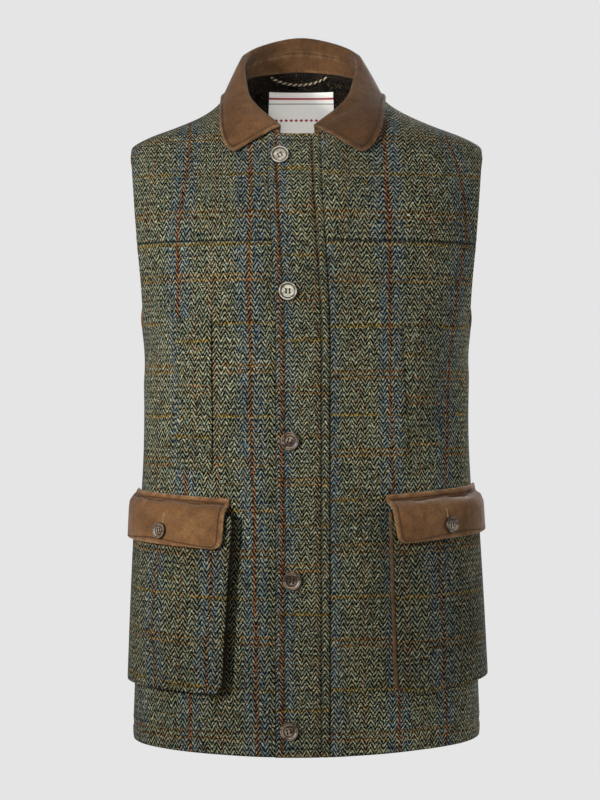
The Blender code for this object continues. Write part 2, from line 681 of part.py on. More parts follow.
# Flap, seen from its end: how far down, and how far it stands off as a share of the pocket's depth
FlapRow = namedtuple("FlapRow", "drop share lift")
FLAP_ROWS = (
    FlapRow(0, 0.0, 2.1), FlapRow(6, 0.0, 2.3), FlapRow(11, 0.45, 3.4), FlapRow(16, 0.90, 4.4),
    FlapRow(24, 1.0, 4.7), FlapRow(42, 1.0, 4.8), FlapRow(51, 1.0, 4.7), FlapRow(55.5, 1.0, 4.6),
    FlapRow(58, 1.0, 4.5),
)


def flap_points(pocket, across):
    """Middle of the flap's cloth, for shares across it, row by row."""
    rows = []
    for row in FLAP_ROWS:
        down = row.drop / FLAP_DROP
        corner = float(rounded_inset(FLAP_DROP - row.drop, FLAP_CORNER))
        start = (pocket.flap_in + (pocket.flap_low_in - pocket.flap_in) * down + corner) / POCKET_WIDTH
        end = 1 + (FLAP_SPREAD - corner) / POCKET_WIDTH
        share = start + (end - start) * across
        drop = (pocket.flap_drop + (pocket.flap_outer_drop - pocket.flap_drop) * share) * down
        z = pocket.top_z - drop + pocket.outer_rise * share
        angle = pocket_place(pocket, share, z) * pocket.side
        out = pocket_standoff(pocket, share, z - 12) * row.share ** (1 + FLAP_LATE * np.clip(share, 0, 1)) + row.lift
        rows.append(on_form(angle, z, out))
    return np.stack(rows, axis=0)


def build_flap(name, pocket, moleskin):
    points = flap_points(pocket, spread(0, 1, 9))
    shell("pocket_flap_" + name, [thickened(points, MOLESKIN)], moleskin)


def build_welt(name, welt, tweed):
    level = spread(0, 1, 6)[:, None]
    across = spread(0, 1, 3)[None, :]
    inner_x = welt.inner_x + (welt.inner_low_x - welt.inner_x) * level
    outer_x = welt.outer_x + (welt.outer_low_x - welt.outer_x) * level
    low_z = welt.inner_low_z + (welt.outer_low_z - welt.inner_low_z) * across
    z = welt.top_z + (low_z - welt.top_z) * level
    x = inner_x + (outer_x - inner_x) * across
    angle = angle_at_x(x, z) * welt.side
    shell("welt_" + name, [skin(angle, z, WELT_GAP + WELT_CLOTH, WELT_GAP)], tweed)


# Buttons
def button(name, centre, normal, radius, material):
    bm = bmesh.new()
    scale = radius / BUTTON_RADIUS
    verts = [bm.verts.new((r * scale * MM, 0, h * scale * MM)) for r, h in BUTTON_PROFILE]
    edges = [bm.edges.new(pair) for pair in zip(verts, verts[1:])]
    bmesh.ops.spin(bm, geom=verts + edges, cent=(0, 0, 0), axis=(0, 0, 1), angle=2 * math.pi,
                   steps=BUTTON_SIDES, use_merge=True)
    bmesh.ops.remove_doubles(bm, verts=bm.verts[:], dist=1e-6)
    bmesh.ops.recalc_face_normals(bm, faces=bm.faces[:])
    mesh = bpy.data.meshes.new(name)
    bm.to_mesh(mesh)
    bm.free()
    mesh.shade_smooth()
    mesh.set_sharp_from_angle(angle=math.radians(40))
    item = add_object(name, mesh, material)
    item.location = centre
    item.rotation_mode = "QUATERNION"
    item.rotation_quaternion = normal.to_track_quat("Z", "Y")
    return item


def place_on(points):
    """Location and normal, in metres, from the centre and two neighbours of a point on a surface."""
    centre, beside, above = (Vector(p) for p in lean(points) * MM)
    normal = (beside - centre).cross(above - centre).normalized()
    return centre, normal


def build_buttons(horn):
    for number, place in enumerate(BUTTONS, 1):
        out = LAYER_GAP + TWEED + BUTTON_STANDOFF
        x = np.array([place.x, place.x + 3, place.x])
        z = np.array([place.z, place.z, place.z + 3])
        centre, normal = place_on(on_form(angle_at_x(x, z), z, out))
        button("button_%d" % number, centre, normal, BUTTON_RADIUS, horn)
    for name, pocket in POCKETS.items():
        share, step = pocket.button_share, 0.02 * pocket.side
        points = flap_points(pocket, np.array([share, share + step]))
        row = 5
        near = np.stack([points[row, 0], points[row, 1], points[row - 1, 0]])
        centre, normal = place_on(near)
        button("flap_button_" + name, centre + normal * (MOLESKIN / 2 + BUTTON_STANDOFF) * MM, normal,
               FLAP_BUTTON_RADIUS, horn)


# Neck label and hanging loop
def build_label(white):
    x, z = np.meshgrid(spread(-LABEL_WIDTH / 2, LABEL_WIDTH / 2, 6), spread(LABEL_LOW_Z, LABEL_TOP_Z, 4))
    inside = -TWEED - UNDER_GAP - LINING - LABEL_GAP
    patch = skin(angle_at_back_x(x, z), z, inside, inside - LABEL_THICKNESS)
    shell("neck_label", [patch], white)


def build_loop(bronze):
    route = np.array([(p.x, p.z, p.inside) for p in LOOP_ROUTE], float)
    steps = spread(0, len(route) - 1, 16)
    x, z, inside = (hermite(steps, np.arange(len(route), dtype=float), route[:, k]) for k in range(3))
    points = lean(on_form(angle_at_back_x(x, z), z, -inside)) * MM
    curve = bpy.data.curves.new("hanging_loop", "CURVE")
    curve.dimensions = "3D"
    curve.bevel_depth = LOOP_RADIUS * MM
    curve.bevel_resolution = 1
    curve.use_fill_caps = True
    spline = curve.splines.new("POLY")
    spline.points.add(len(points) - 1)
    for target, point in zip(spline.points, points):
        target.co = (*point, 1.0)
    return add_object("hanging_loop", curve, bronze)


def clear_scene():
    for item in list(bpy.data.objects):
        bpy.data.objects.remove(item, do_unlink=True)


def main():
    clear_scene()
    tweed = finish("herringbone tweed", (0.085, 0.087, 0.055), 0.92)
    moleskin = finish("brown moleskin", (0.17, 0.09, 0.04), 0.85)
    lining = finish("dark lining", (0.05, 0.036, 0.028), 0.6)
    horn = finish("horn buttons", (0.16, 0.10, 0.06), 0.35)
    white = finish("woven label", (0.72, 0.70, 0.66), 0.7)
    bronze = finish("loop cord", (0.10, 0.08, 0.06), 0.5)
    build_panels(tweed)
    build_placket(tweed)
    build_facings(moleskin)
    build_lining(lining)
    build_collar(moleskin)
    for name, pocket in POCKETS.items():
        build_pocket(name, pocket, tweed, moleskin)
        build_flap(name, pocket, moleskin)
        build_welt(name, WELTS[name], tweed)
    build_buttons(horn)
    build_label(white)
    build_loop(bronze)


main()
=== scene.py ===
import math
from functools import partial, reduce

import bmesh
import bpy
import numpy as np
from mathutils import Matrix, Vector


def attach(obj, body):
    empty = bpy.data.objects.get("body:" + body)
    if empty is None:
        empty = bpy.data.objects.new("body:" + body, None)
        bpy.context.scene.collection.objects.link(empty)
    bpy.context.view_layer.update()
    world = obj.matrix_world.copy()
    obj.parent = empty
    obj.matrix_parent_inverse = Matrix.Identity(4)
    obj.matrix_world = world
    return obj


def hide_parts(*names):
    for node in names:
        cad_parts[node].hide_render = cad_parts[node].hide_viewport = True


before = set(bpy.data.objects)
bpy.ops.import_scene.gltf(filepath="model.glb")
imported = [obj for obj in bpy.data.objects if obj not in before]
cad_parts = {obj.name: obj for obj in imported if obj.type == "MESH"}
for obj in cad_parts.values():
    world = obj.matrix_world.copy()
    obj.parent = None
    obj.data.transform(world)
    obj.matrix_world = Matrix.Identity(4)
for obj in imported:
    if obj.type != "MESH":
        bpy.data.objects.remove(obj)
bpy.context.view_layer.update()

mm = 0.001

# The worn form under every piece, in millimetres. The origin is inside the base of the neck,
# +Z is up, the front faces -Y and the wearer's left is at +X.
bodyForm = {
    # height, half width, front depth, back depth, corner power
    "sections": (
        (-730, 195.5, 143, 131, 2.35), (-650, 192.5, 142, 129, 2.35), (-538, 188.5, 137, 124, 2.4),
        (-426, 184.5, 134, 114, 2.4), (-358, 181.0, 136, 108, 2.4), (-308, 180.0, 139, 110, 2.4),
        (-246, 182.5, 142, 117, 2.4), (-200, 190.0, 142, 122, 2.4), (-150, 197.0, 138, 125, 2.4),
        (-100, 200.5, 128, 121, 2.4), (-60, 200.5, 115, 112, 2.35), (-42, 198.5, 108, 107, 2.35),
        (-31, 193.0, 103, 103, 2.3), (-22, 176.0, 99, 99.5, 2.3), (-11, 146.5, 93, 95, 2.3),
        (0, 120.5, 86, 90, 2.3), (12, 100.5, 78, 84, 2.25), (23, 89.0, 70, 78, 2.2),
        (34, 79.0, 61, 73, 2.15), (46, 74.0, 53, 68, 2.1), (62, 71.0, 46, 63, 2.1), (80, 70.0, 44, 61, 2.1),
    ),
    # degrees round the body and height of both ends, then width and rise
    "folds": (
        (-74, -255, -46, -330, 22, -2.4), (-80, -300, -70, -420, 20, 1.8), (74, -250, 50, -345, 24, -2.2),
        (79, -290, 66, -430, 18, 2.0), (16, -215, 20, -640, 20, -1.6), (-22, -500, -20, -690, 22, 1.8),
        (34, -640, 30, -700, 24, 1.8), (118, -275, 140, -370, 26, -2.6), (-118, -280, -136, -380, 28, -2.8),
        (160, -330, 166, -560, 30, 2.2), (-158, -300, -168, -600, 26, 2.0), (128, -470, 134, -690, 30, -2.2),
        (-130, -500, -126, -695, 26, -2.0),
    ),
    "foldRadius": 150.0,     # turns degrees into a distance
    "widestCrease": 16.0,    # a fold of this width or more keeps its rise up to both ends
    "neckline": ((0, -27), (12, -25.5), (22, -18), (36, -5), (52, 11), (70, 27), (90, 40), (118, 50),
                 (148, 58), (180, 61), (212, 58)),
    "hem": -694.0, "hemSideRise": 7.0, "hemTilt": 2.0, "hemEase": 110.0,
    "yoke": -143.0, "underarm": -240.0, "shoulderTip": -31.0,
    "neckSide": 40.0, "frontCorner": -26.0, "scoopFront": 60.0, "scoopBack": 40.0,
    "leanSide": 6.0, "leanFront": 4.0, "leanTop": -20.0, "leanLow": -260.0, "leanNear": 60.0, "leanFar": 125.0,
    "seamGap": 0.3,
}
halfWidth, frontDepth, backDepth, cornerPower = 1, 2, 3, 4   # columns of the sections


def curveThrough(at, xs, ys):
    at, xs, ys = (np.asarray(v, float) for v in (at, xs, ys))
    slopes = np.gradient(ys, xs)
    i = np.clip(np.searchsorted(xs, at) - 1, 0, len(xs) - 2)
    span = xs[i + 1] - xs[i]
    t = np.clip((at - xs[i]) / span, 0.0, 1.0)
    return (ys[i] * (2 * t ** 3 - 3 * t ** 2 + 1) + slopes[i] * span * (t ** 3 - 2 * t ** 2 + t)
            + ys[i + 1] * (3 * t ** 2 - 2 * t ** 3) + slopes[i + 1] * span * (t ** 3 - t ** 2))


def between(first, last, share):
    return first + (last - first) * share


def sectionValue(z, column):
    rows = bodyForm["sections"]
    return curveThrough(z, [row[0] for row in rows], [row[column] for row in rows])


def easeStep(value, low, high):
    t = np.clip((value - low) / (high - low), 0.0, 1.0)
    return t * t * (3 - 2 * t)


def unit(vectors):
    return vectors / np.linalg.norm(vectors, axis=-1, keepdims=True)


def lengthAlong(points):
    return np.concatenate([[0], np.cumsum(np.linalg.norm(np.diff(points, axis=0), axis=1))])


def swell(distance, width):
    return np.exp(-(distance / width) ** 2)


def trough(distance, place, depth, width):
    return -depth * swell(distance - place, width)


def nearestOn(x, y, xa, ya, xb, yb):
    # the nearest place on the line between both ends: its share of the way along, and how far off it is
    share = np.clip(((x - xa) * (xb - xa) + (y - ya) * (yb - ya)) / ((xb - xa) ** 2 + (yb - ya) ** 2), 0, 1)
    return share, np.hypot(x - between(xa, xb, share), y - between(ya, yb, share))


def foldHeight(angle, z):
    across = angle * bodyForm["foldRadius"]
    total = np.zeros_like(across)
    for degreesA, zA, degreesB, zB, width, rise in bodyForm["folds"] + smallCreases:
        xA, xB = np.radians((degreesA, degreesB)) * bodyForm["foldRadius"]
        share, off = nearestOn(across, z, xA, zA, xB, zB)
        taper = np.sin(math.pi * np.clip(share, 0.12, 0.88)) if width < bodyForm["widestCrease"] else 1.0
        total += rise * taper * swell(off, width)
    return total


# small soft creases on top of the large folds, listed one by one and uneven
smallCreases = (
    (-66, -262, -54, -292, 9, -1.9), (-58, -246, -44, -262, 8, -1.4), (-71, -330, -63, -352, 9, 1.5),
    (-50, -352, -36, -378, 11, -1.4), (-60, -60, -42, -96, 10, -2.2), (-38, -62, -30, -112, 9, -1.5),
    (-30, -86, -24, -128, 8, 1.2), (62, -258, 48, -284, 9, -1.7), (70, -318, 60, -350, 8, 1.5),
    (66, -372, 58, -404, 10, -1.9), (44, -330, 38, -372, 11, 1.4), (52, -66, 40, -102, 11, -1.7),
    (30, -170, 26, -214, 10, 1.2), (-24, -180, -28, -232, 10, 1.4), (-20, -300, -25, -360, 12, -1.2),
    (24, -420, 30, -486, 12, 1.4), (-22, -412, -18, -470, 10, -1.4), (-40, -648, -34, -688, 10, 1.5),
    (-62, -640, -60, -690, 11, -1.5), (52, -642, 47, -690, 10, -1.7), (66, -640, 64, -688, 12, 1.4),
    (102, -262, 122, -300, 10, -2.0), (112, -300, 128, -322, 9, 1.5), (-104, -266, -120, -298, 10, -2.0),
    (-112, -312, -132, -336, 9, 1.7), (150, -60, 164, -118, 11, -1.5), (-148, -64, -160, -130, 12, -1.7),
    (176, -220, 170, -330, 12, 1.5), (-172, -380, -178, -470, 12, -1.5), (142, -420, 150, -520, 12, 1.7),
    (-146, -430, -152, -540, 11, 1.5), (156, -600, 152, -690, 12, -1.9), (-160, -610, -164, -688, 11, 1.7),
)


def wrapped(angle):
    return (np.asarray(angle, float) + math.pi) % (2 * math.pi) - math.pi


def depthAt(z, front):
    return np.where(front, sectionValue(z, frontDepth), sectionValue(z, backDepth))


def plainRadius(angle, z):
    power = sectionValue(z, cornerPower)
    sine = np.abs(np.sin(angle)) / sectionValue(z, halfWidth)
    cosine = np.abs(np.cos(angle)) / depthAt(z, np.cos(angle) > 0)
    return (sine ** power + cosine ** power) ** (-1 / power)


def formPoint(angle, z):
    angle, z = np.broadcast_arrays(np.asarray(angle, float), np.asarray(z, float))
    radius = plainRadius(angle, z) + foldHeight(wrapped(angle), z)
    return np.stack([radius * np.sin(angle), -radius * np.cos(angle), z], axis=-1)


def formNormal(angle, z):
    along = formPoint(angle + 0.01, z) - formPoint(angle - 0.01, z)
    up = formPoint(angle, z + 1.0) - formPoint(angle, z - 1.0)
    return unit(np.cross(along, up))


def onForm(angle, z, out):
    angle, z = np.broadcast_arrays(np.asarray(angle, float), np.asarray(z, float))
    return formPoint(angle, z) + formNormal(angle, z) * np.broadcast_to(out, angle.shape)[..., None]


def depthAtX(x, z, back=False, limit=0.9999):
    wide, power = sectionValue(z, halfWidth), sectionValue(z, cornerPower)
    return depthAt(z, not back) * (1 - np.clip(np.abs(x) / wide, 0, limit) ** power) ** (1 / power)


def angleAtX(x, z, back=False):
    depth = depthAtX(x, z, back)
    return np.arctan2(x, -depth if back else depth)


def angleAtY(y, z):
    power = sectionValue(z, cornerPower)
    share = np.abs(y) / depthAt(z, np.asarray(y) < 0)
    return np.arctan2(sectionValue(z, halfWidth) * (1 - share ** power) ** (1 / power), -np.asarray(y, float))


def angleOf(points):
    return np.arctan2(points[..., 0], -points[..., 1])


def neckHeight(angle):
    return curveThrough(np.degrees(np.abs(wrapped(angle))), *zip(*bodyForm["neckline"]))


def armholeEdge(t, back=False):
    t = np.asarray(t, float)
    z = between(bodyForm["underarm"], bodyForm["shoulderTip"], (1 - np.cos(math.pi * t)) / 2)
    scoop, bend = (bodyForm["scoopBack"], 0.95) if back else (-bodyForm["scoopFront"], 0.82)
    return angleAtY(scoop * np.sin(math.pi * t ** bend) ** 0.8, z), z


def armholeShare(z):
    return math.acos(1 - 2 * (z - bodyForm["underarm"]) / (bodyForm["shoulderTip"] - bodyForm["underarm"])) / math.pi


def nearHem(z):
    return 1 - easeStep(z, bodyForm["hem"], bodyForm["hem"] + bodyForm["hemEase"])


def leanNeck(points):
    # the neck sits a little towards the wearer's right, and the hem tilts a little
    points = np.array(points, float)
    amount = bodyForm["leanSide"] + bodyForm["leanFront"] * np.clip(-points[..., 1] / 100, 0, 1)
    high = easeStep(points[..., 2], bodyForm["leanLow"], bodyForm["leanTop"])
    near = 1 - easeStep(np.abs(points[..., 0]), bodyForm["leanNear"], bodyForm["leanFar"])
    tilt = bodyForm["hemTilt"] * points[..., 0] / sectionValue(bodyForm["hem"], halfWidth)
    low = nearHem(points[..., 2])
    points[..., 0] -= amount * high * near
    points[..., 2] += tilt * low
    return points


def hemRise(angle, z):
    return z + bodyForm["hemSideRise"] * np.sin(angle) ** 2 * nearHem(z)


def gapAngle(z):
    return bodyForm["seamGap"] / 2 / sectionValue(z, halfWidth)


# Grain: how far a place is round the body, in cloth millimetres, from a table of the plain form
grainTable = {
    "depthShare": 0.75, "heights": np.linspace(-705, 65, 78), "angles": np.linspace(0, math.pi, 181),
    "rowHeight": 10.0, "shoulderLevel": -100.0, "overShoulder": 0.55,
}


def fillGrainTable():
    angles, heights = np.meshgrid(grainTable["angles"], grainTable["heights"])
    radius = plainRadius(angles, heights)
    steps = np.hypot(np.diff(radius * np.sin(angles)), np.diff(radius * np.cos(angles)) * grainTable["depthShare"])
    grainTable["arc"] = np.concatenate([np.zeros((len(heights), 1)), np.cumsum(steps, axis=1)], axis=1)


def arcAt(angle, z):
    heights, arc = grainTable["heights"], grainTable["arc"]
    row = np.clip((z - heights[0]) / grainTable["rowHeight"], 0, len(heights) - 1.001)
    column = np.clip(np.abs(wrapped(angle)) / math.pi * 180, 0, 179.999)
    i, j = row.astype(int), column.astype(int)
    below, above = (between(arc[k, j], arc[k, j + 1], column - j) for k in (i, i + 1))
    return between(below, above, row - i)


# Cloth: a closed thin wall round a grid of points, turned in softly at its edges
closeEdge = np.array((0.0, 0.45, 1.1, 2.2))     # rows beside an edge, in mm from it
nextRow = 4.0


def seamSteps(length, step, start=True, end=True):
    low, high = nextRow * start, length - nextRow * end
    parts = [np.linspace(low, high, max(2, round((high - low) / step)) + 1)]
    if start:
        parts.insert(0, closeEdge)
    if end:
        parts.append(length - closeEdge[::-1])
    return np.concatenate(parts) / length


def sideDistances(points):
    # how far each point of a grid is from its four sides, along the cloth
    rows, columns = points.shape[:2]
    across = np.linalg.norm(np.diff(points, axis=1), axis=-1)
    along = np.linalg.norm(np.diff(points, axis=0), axis=-1)
    left = np.concatenate([np.zeros((rows, 1)), np.cumsum(across, axis=1)], axis=1)
    first = np.concatenate([np.zeros((1, columns)), np.cumsum(along, axis=0)], axis=0)
    return {"left": left, "right": left[:, -1:] - left, "first": first, "last": first[-1:] - first}


def edgeDistance(points, sides):
    # millimetres to the nearest true edge; sides maps a side to True or to a mask of its rows or columns
    ways = sideDistances(points)
    far = np.full(points.shape[:2], 1e3)
    for side, where in sides.items():
        mask = np.asarray(where)
        if mask.ndim == 1:
            mask = mask[:, None] if side in ("left", "right") else mask[None, :]
        far = np.minimum(far, np.where(mask, ways[side], 1e3))
    return far


def gridNormals(points):
    return unit(np.cross(np.gradient(points, axis=1), np.gradient(points, axis=0)))


def meshFrom(bm, name):
    mesh = bpy.data.meshes.new(name)
    bm.to_mesh(mesh)
    bm.free()
    mesh.shade_smooth()
    return mesh


def sewCloth(name, node, sheets, material, turn=1.5):
    # sheets: dictionaries with middle points, normals, grain, edge distances and half the cloth's thickness
    bm = bmesh.new()
    number = bm.verts.layers.int.new("number")
    innerPoints, grains, edges = [], [], []
    area, wide, long = 0.0, 0.0, 0.0
    for sheet in sheets:
        middle, normal, edge = sheet["middle"], sheet["normal"], sheet["edge"]
        rows, columns = middle.shape[:2]
        near = np.clip(edge / turn, 0, 1)
        half = sheet["half"] * between(clothWall["edgeShare"], 1, np.sqrt(1 - (1 - near) ** 2))
        outer = leanNeck(middle + normal * half[..., None]) * mm
        inner = leanNeck(middle - normal * half[..., None]) * mm
        start = len(innerPoints)
        made = bmesh.ops.create_grid(bm, x_segments=columns - 1, y_segments=rows - 1, size=1.0)
        for vert in made["verts"]:
            column = round((vert.co.x + 1) / 2 * (columns - 1))
            row = round((vert.co.y + 1) / 2 * (rows - 1))
            vert.co = outer[row, column]
            vert[number] = start + row * columns + column
        innerPoints.extend(inner.reshape(-1, 3))
        grains.append(np.asarray(sheet["grain"], float).reshape(rows * columns, -1))
        edges.append(edge.reshape(-1))
        right, up = np.diff(middle[:-1], axis=1), np.diff(middle[:, :-1], axis=0)
        area += float(np.linalg.norm(np.cross(right, up), axis=-1).sum())
        wide += float(np.linalg.norm(np.diff(middle, axis=1), axis=-1).sum(axis=1).max())
        long = max(long, float(np.linalg.norm(np.diff(middle, axis=0), axis=-1).sum(axis=0).max()))
    bmesh.ops.remove_doubles(bm, verts=bm.verts[:], dist=1e-6)
    made = bmesh.ops.extrude_face_region(bm, geom=bm.faces[:])
    for item in made["geom"]:
        if isinstance(item, bmesh.types.BMVert):
            item.co = innerPoints[item[number]]
    bmesh.ops.recalc_face_normals(bm, faces=bm.faces[:])
    mesh = meshFrom(bm, name)
    grains, edges = np.concatenate(grains), np.concatenate(edges)
    numbers = np.empty(len(mesh.vertices), np.int32)
    mesh.attributes["number"].data.foreach_get("value", numbers)
    corners = np.empty(len(mesh.loops), np.int32)
    mesh.loops.foreach_get("vertex_index", corners)
    for layerName, first in (("grain", 0), ("weave", 2)):
        if grains.shape[1] > first:
            layer = mesh.uv_layers.new(name=layerName)
            values = grains[numbers[corners], first:first + 2] * mm
            layer.data.foreach_set("uv", values.reshape(-1).astype(np.float32))
    wear = mesh.attributes.new("edge", "FLOAT", "POINT")
    wear.data.foreach_set("value", np.clip(edges[numbers], 0, 60).astype(np.float32))
    mesh.attributes.remove(mesh.attributes["number"])
    piece = placePiece(name, mesh, material, node)


def placePiece(name, mesh, material, node=None):
    piece = bpy.data.objects.new(name, mesh)
    bpy.context.scene.collection.objects.link(piece)
    if material.name not in [m.name for m in mesh.materials if m]:
        mesh.materials.append(material)
    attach(piece, "root")
    if node:
        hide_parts(node)
    return piece


def formSheet(angle, z, out, thickness, grain, sides):
    # a sheet that lies on the form, its outer face at the height out
    plain = onForm(angle, z, 0)
    return {"middle": onForm(angle, z, np.asarray(out) - thickness / 2), "normal": formNormal(angle, z),
            "grain": grain, "edge": edgeDistance(plain, sides), "half": thickness / 2}


def freeSheet(middle, thickness, grain, sides):
    return {"middle": middle, "normal": gridNormals(middle), "grain": grain,
            "edge": edgeDistance(middle, sides), "half": thickness / 2}


def roundCorner(points, radius):
    # draws the corner between the left side and the last row in to a quarter circle
    ways = sideDistances(points)
    fromLeft, fromLast = radius - ways["left"], radius - ways["last"]
    inside = (fromLeft > 0) & (fromLast > 0)
    away = np.hypot(fromLeft, fromLast)
    scale = np.where(inside, np.maximum(fromLeft, fromLast) / np.maximum(away, 1e-6), 1.0)
    right, down = unit(np.gradient(points, axis=1)), unit(np.gradient(points, axis=0))
    return points + right * (fromLeft * (1 - scale))[..., None] - down * (fromLast * (1 - scale))[..., None]


def lineRelief(across, along, lines):
    # soft creases: both ends, then width and rise, all in millimetres
    total = np.zeros(np.broadcast(across, along).shape)
    for xa, ya, xb, yb, width, rise in lines:
        share, off = nearestOn(across, along, xa, ya, xb, yb)
        total += rise * np.sin(math.pi * np.clip(share, 0.1, 0.9)) * swell(off, width)
    return total


# Stitches: rows of small beads laid along lines on the cloth's outer face
def faceLine(sheet, side, distance, clear=()):
    ways = sideDistances(sheet["middle"])
    outer = sheet["middle"] + sheet["normal"] * sheet["half"]
    way, normal = ways[side], sheet["normal"]
    others = [ways[other] for other in clear]
    if side in ("first", "last"):
        outer, normal, way = outer.swapaxes(0, 1), normal.swapaxes(0, 1), way.T
        others = [other.T for other in others]
    points, normals = [], []
    for row in range(len(outer)):
        order = np.argsort(way[row])
        place = np.interp(distance, way[row][order], order.astype(float))
        low = int(np.clip(math.floor(place), 0, outer.shape[1] - 2))
        share = place - low
        if any(between(other[row, low], other[row, low + 1], share) < distance * 0.98 for other in others):
            continue
        points.append(between(outer[row, low], outer[row, low + 1], share))
        normals.append(between(normal[row, low], normal[row, low + 1], share))
    return np.array(points), np.array(normals)


def sewRows(name, lines, stitch, material):
    # stitch: pitch, length, width and height in millimetres
    bead = bmesh.new()
    bmesh.ops.create_uvsphere(bead, u_segments=6, v_segments=4, radius=0.5)
    bmesh.ops.rotate(bead, verts=bead.verts[:], cent=(0, 0, 0), matrix=Matrix.Rotation(math.pi / 2, 3, "Y"))
    beadMesh = meshFrom(bead, "bead")
    bm = bmesh.new()
    pitch, length, width, height = stitch
    for points, normals in lines:
        points = leanNeck(points)
        travelled = lengthAlong(points)
        for number in range(int(travelled[-1] // pitch)):
            at = (number + 0.5) * pitch
            centre, ahead, up = (Vector([np.interp(place, travelled, column) for column in values.T])
                                 for place, values in ((at, points), (at + 0.5, points), (at, normals)))
            up = up.normalized()
            forward = (ahead - centre).normalized() if (ahead - centre).length > 1e-6 else Vector((1, 0, 0))
            side = up.cross(forward).normalized()
            up = forward.cross(side)
            turn = Matrix((forward, side, up)).transposed()
            place = Matrix.Translation((centre + up * height * 0.12) * mm) @ turn.to_4x4()
            copy = beadMesh.copy()
            copy.transform(place @ Matrix.Diagonal((length * mm, width * mm, height * mm, 1)))
            bm.from_mesh(copy)
            bpy.data.meshes.remove(copy)
    bpy.data.meshes.remove(beadMesh)
    placePiece(name, meshFrom(bm, name), material)


# Materials
modeNames = {"Math": "operation", "VectorMath": "operation", "MapRange": "interpolation_type", "Mix": "blend_type"}


def linearColour(code, shade=1.0):
    parts = [int(code[i:i + 2], 16) / 255 for i in (1, 3, 5)]
    return tuple(shade * (p / 12.92 if p <= 0.04045 else ((p + 0.055) / 1.055) ** 2.4) for p in parts) + (1.0,)


def setInput(tree, slot, value):
    # a node given as value stands for its first output, or for its colour if it mixes colours
    if isinstance(value, bpy.types.Node):
        value = value.outputs[2 if value.bl_idname == "ShaderNodeMix" else 0]
    if isinstance(value, bpy.types.NodeSocket):
        tree.links.new(value, slot)
    else:
        slot.default_value = value


def addNode(tree, kind, settings=(), *inputs, **named):
    # adds a node and sets or links its inputs, in order or by name; one word as settings is the node's mode
    node = tree.nodes.new("ShaderNode" + kind)
    slots = range(len(inputs))
    if kind == "Mix":
        node.data_type, slots = "RGBA", (0, 6, 7)      # the share and both colours
    if isinstance(settings, str):
        settings = {modeNames[kind]: settings}
    for name, value in dict(settings).items():
        if name == "stops":
            while len(node.color_ramp.elements) < len(value):
                node.color_ramp.elements.new(0.5)
            for element, (place, colour) in zip(node.color_ramp.elements, value):
                element.position, element.color = place, colour
        else:
            setattr(node, name, value)
    for key, value in [*zip(slots, inputs), *named.items()]:
        setInput(tree, node.inputs[key], value)
    return node


def setShader(owner, values, shader="Principled BSDF"):
    for key, value in values.items():
        setInput(owner.node_tree, owner.node_tree.nodes[shader].inputs[key], value)


def startMaterial(name, roughness, specular=0.2, sheen=0.0, sheenRoughness=0.5):
    material = bpy.data.materials.new(name)
    material.use_nodes = True
    setShader(material, {"Roughness": roughness, "Specular IOR Level": specular, "Sheen Weight": sheen,
                         "Sheen Roughness": sheenRoughness})
    return material, partial(addNode, material.node_tree)


def finishMaterial(material, add, colour, height=None, strength=0.0, depth=0.0):
    # strength, and depth in metres, are those of the relief
    setShader(material, {"Base Color": colour})
    if height:
        bump = add("Bump", Strength=strength, Distance=depth, Height=height)
        setShader(material, {"Normal": bump})
    return material


def productOf(add, *parts):
    # multiplies numbers, nodes and smooth steps, a step being value, start, end and, if not 0 and 1, both levels
    made = [add("MapRange", "SMOOTHSTEP", *part) if isinstance(part, tuple) else part for part in parts]
    return reduce(partial(add, "Math", "MULTIPLY"), made)


# Woven wool herringbone: heather yarns in zigzag ribs, so it looks flecked, fuzzy and matt
tweedLook = {
    "rib": 4.85, "rise": 5.85, "slant": 1.45,     # mm across a rib and up a twill line, lines climbed per rib
    "rustEvery": 78.0, "mustardEvery": 100.0, "pairApart": 3.4,
    # mm from a line's middle: where it fades out and where it is full, then how strong the fainter lines are
    "rustEdge": (2.4, 1.1), "goldEdge": (2.5, 1.2), "halfEdge": (3.0, 1.2), "blueInner": (1.5, 3.5),
    "blueOuter": (20.0, 8.0), "halfShare": 0.28, "tanShare": 0.85,
    # shares of the dyed wools in the light and the dark yarn
    "lightYarns": ((0.0, "#5c7f80"), (0.2, "#849382"), (0.45, "#a3a688"), (0.68, "#cdc9aa"), (0.88, "#a09048"),
                   (1.0, "#966034")),
    "darkYarns": ((0.0, "#0a1816"), (0.3, "#0b1103"), (0.6, "#111303"), (0.85, "#1f1a05"), (1.0, "#14260a")),
    "lightBlue": "#6c93a6", "darkBlue": "#0e2d50", "blueShare": 0.8,
    "rust": "#b2582d", "darkRust": "#241408", "mustard": "#bc9c52", "darkMustard": "#2f280f",
    "tan": "#bc9558", "darkTan": "#2e220f",
    "fleck": 0.55, "fade": 0.16, "fadeScale": 12.0, "seamWidth": 1.5,
    "wavers": ((26.0, 3.6), (300.0, 2.0)),        # noise scale, and the mm that the threads stray with it
    "yarnCell": 0.66, "yarnLength": (0.5, 0.16, 1.0), "relief": 0.0004,
}


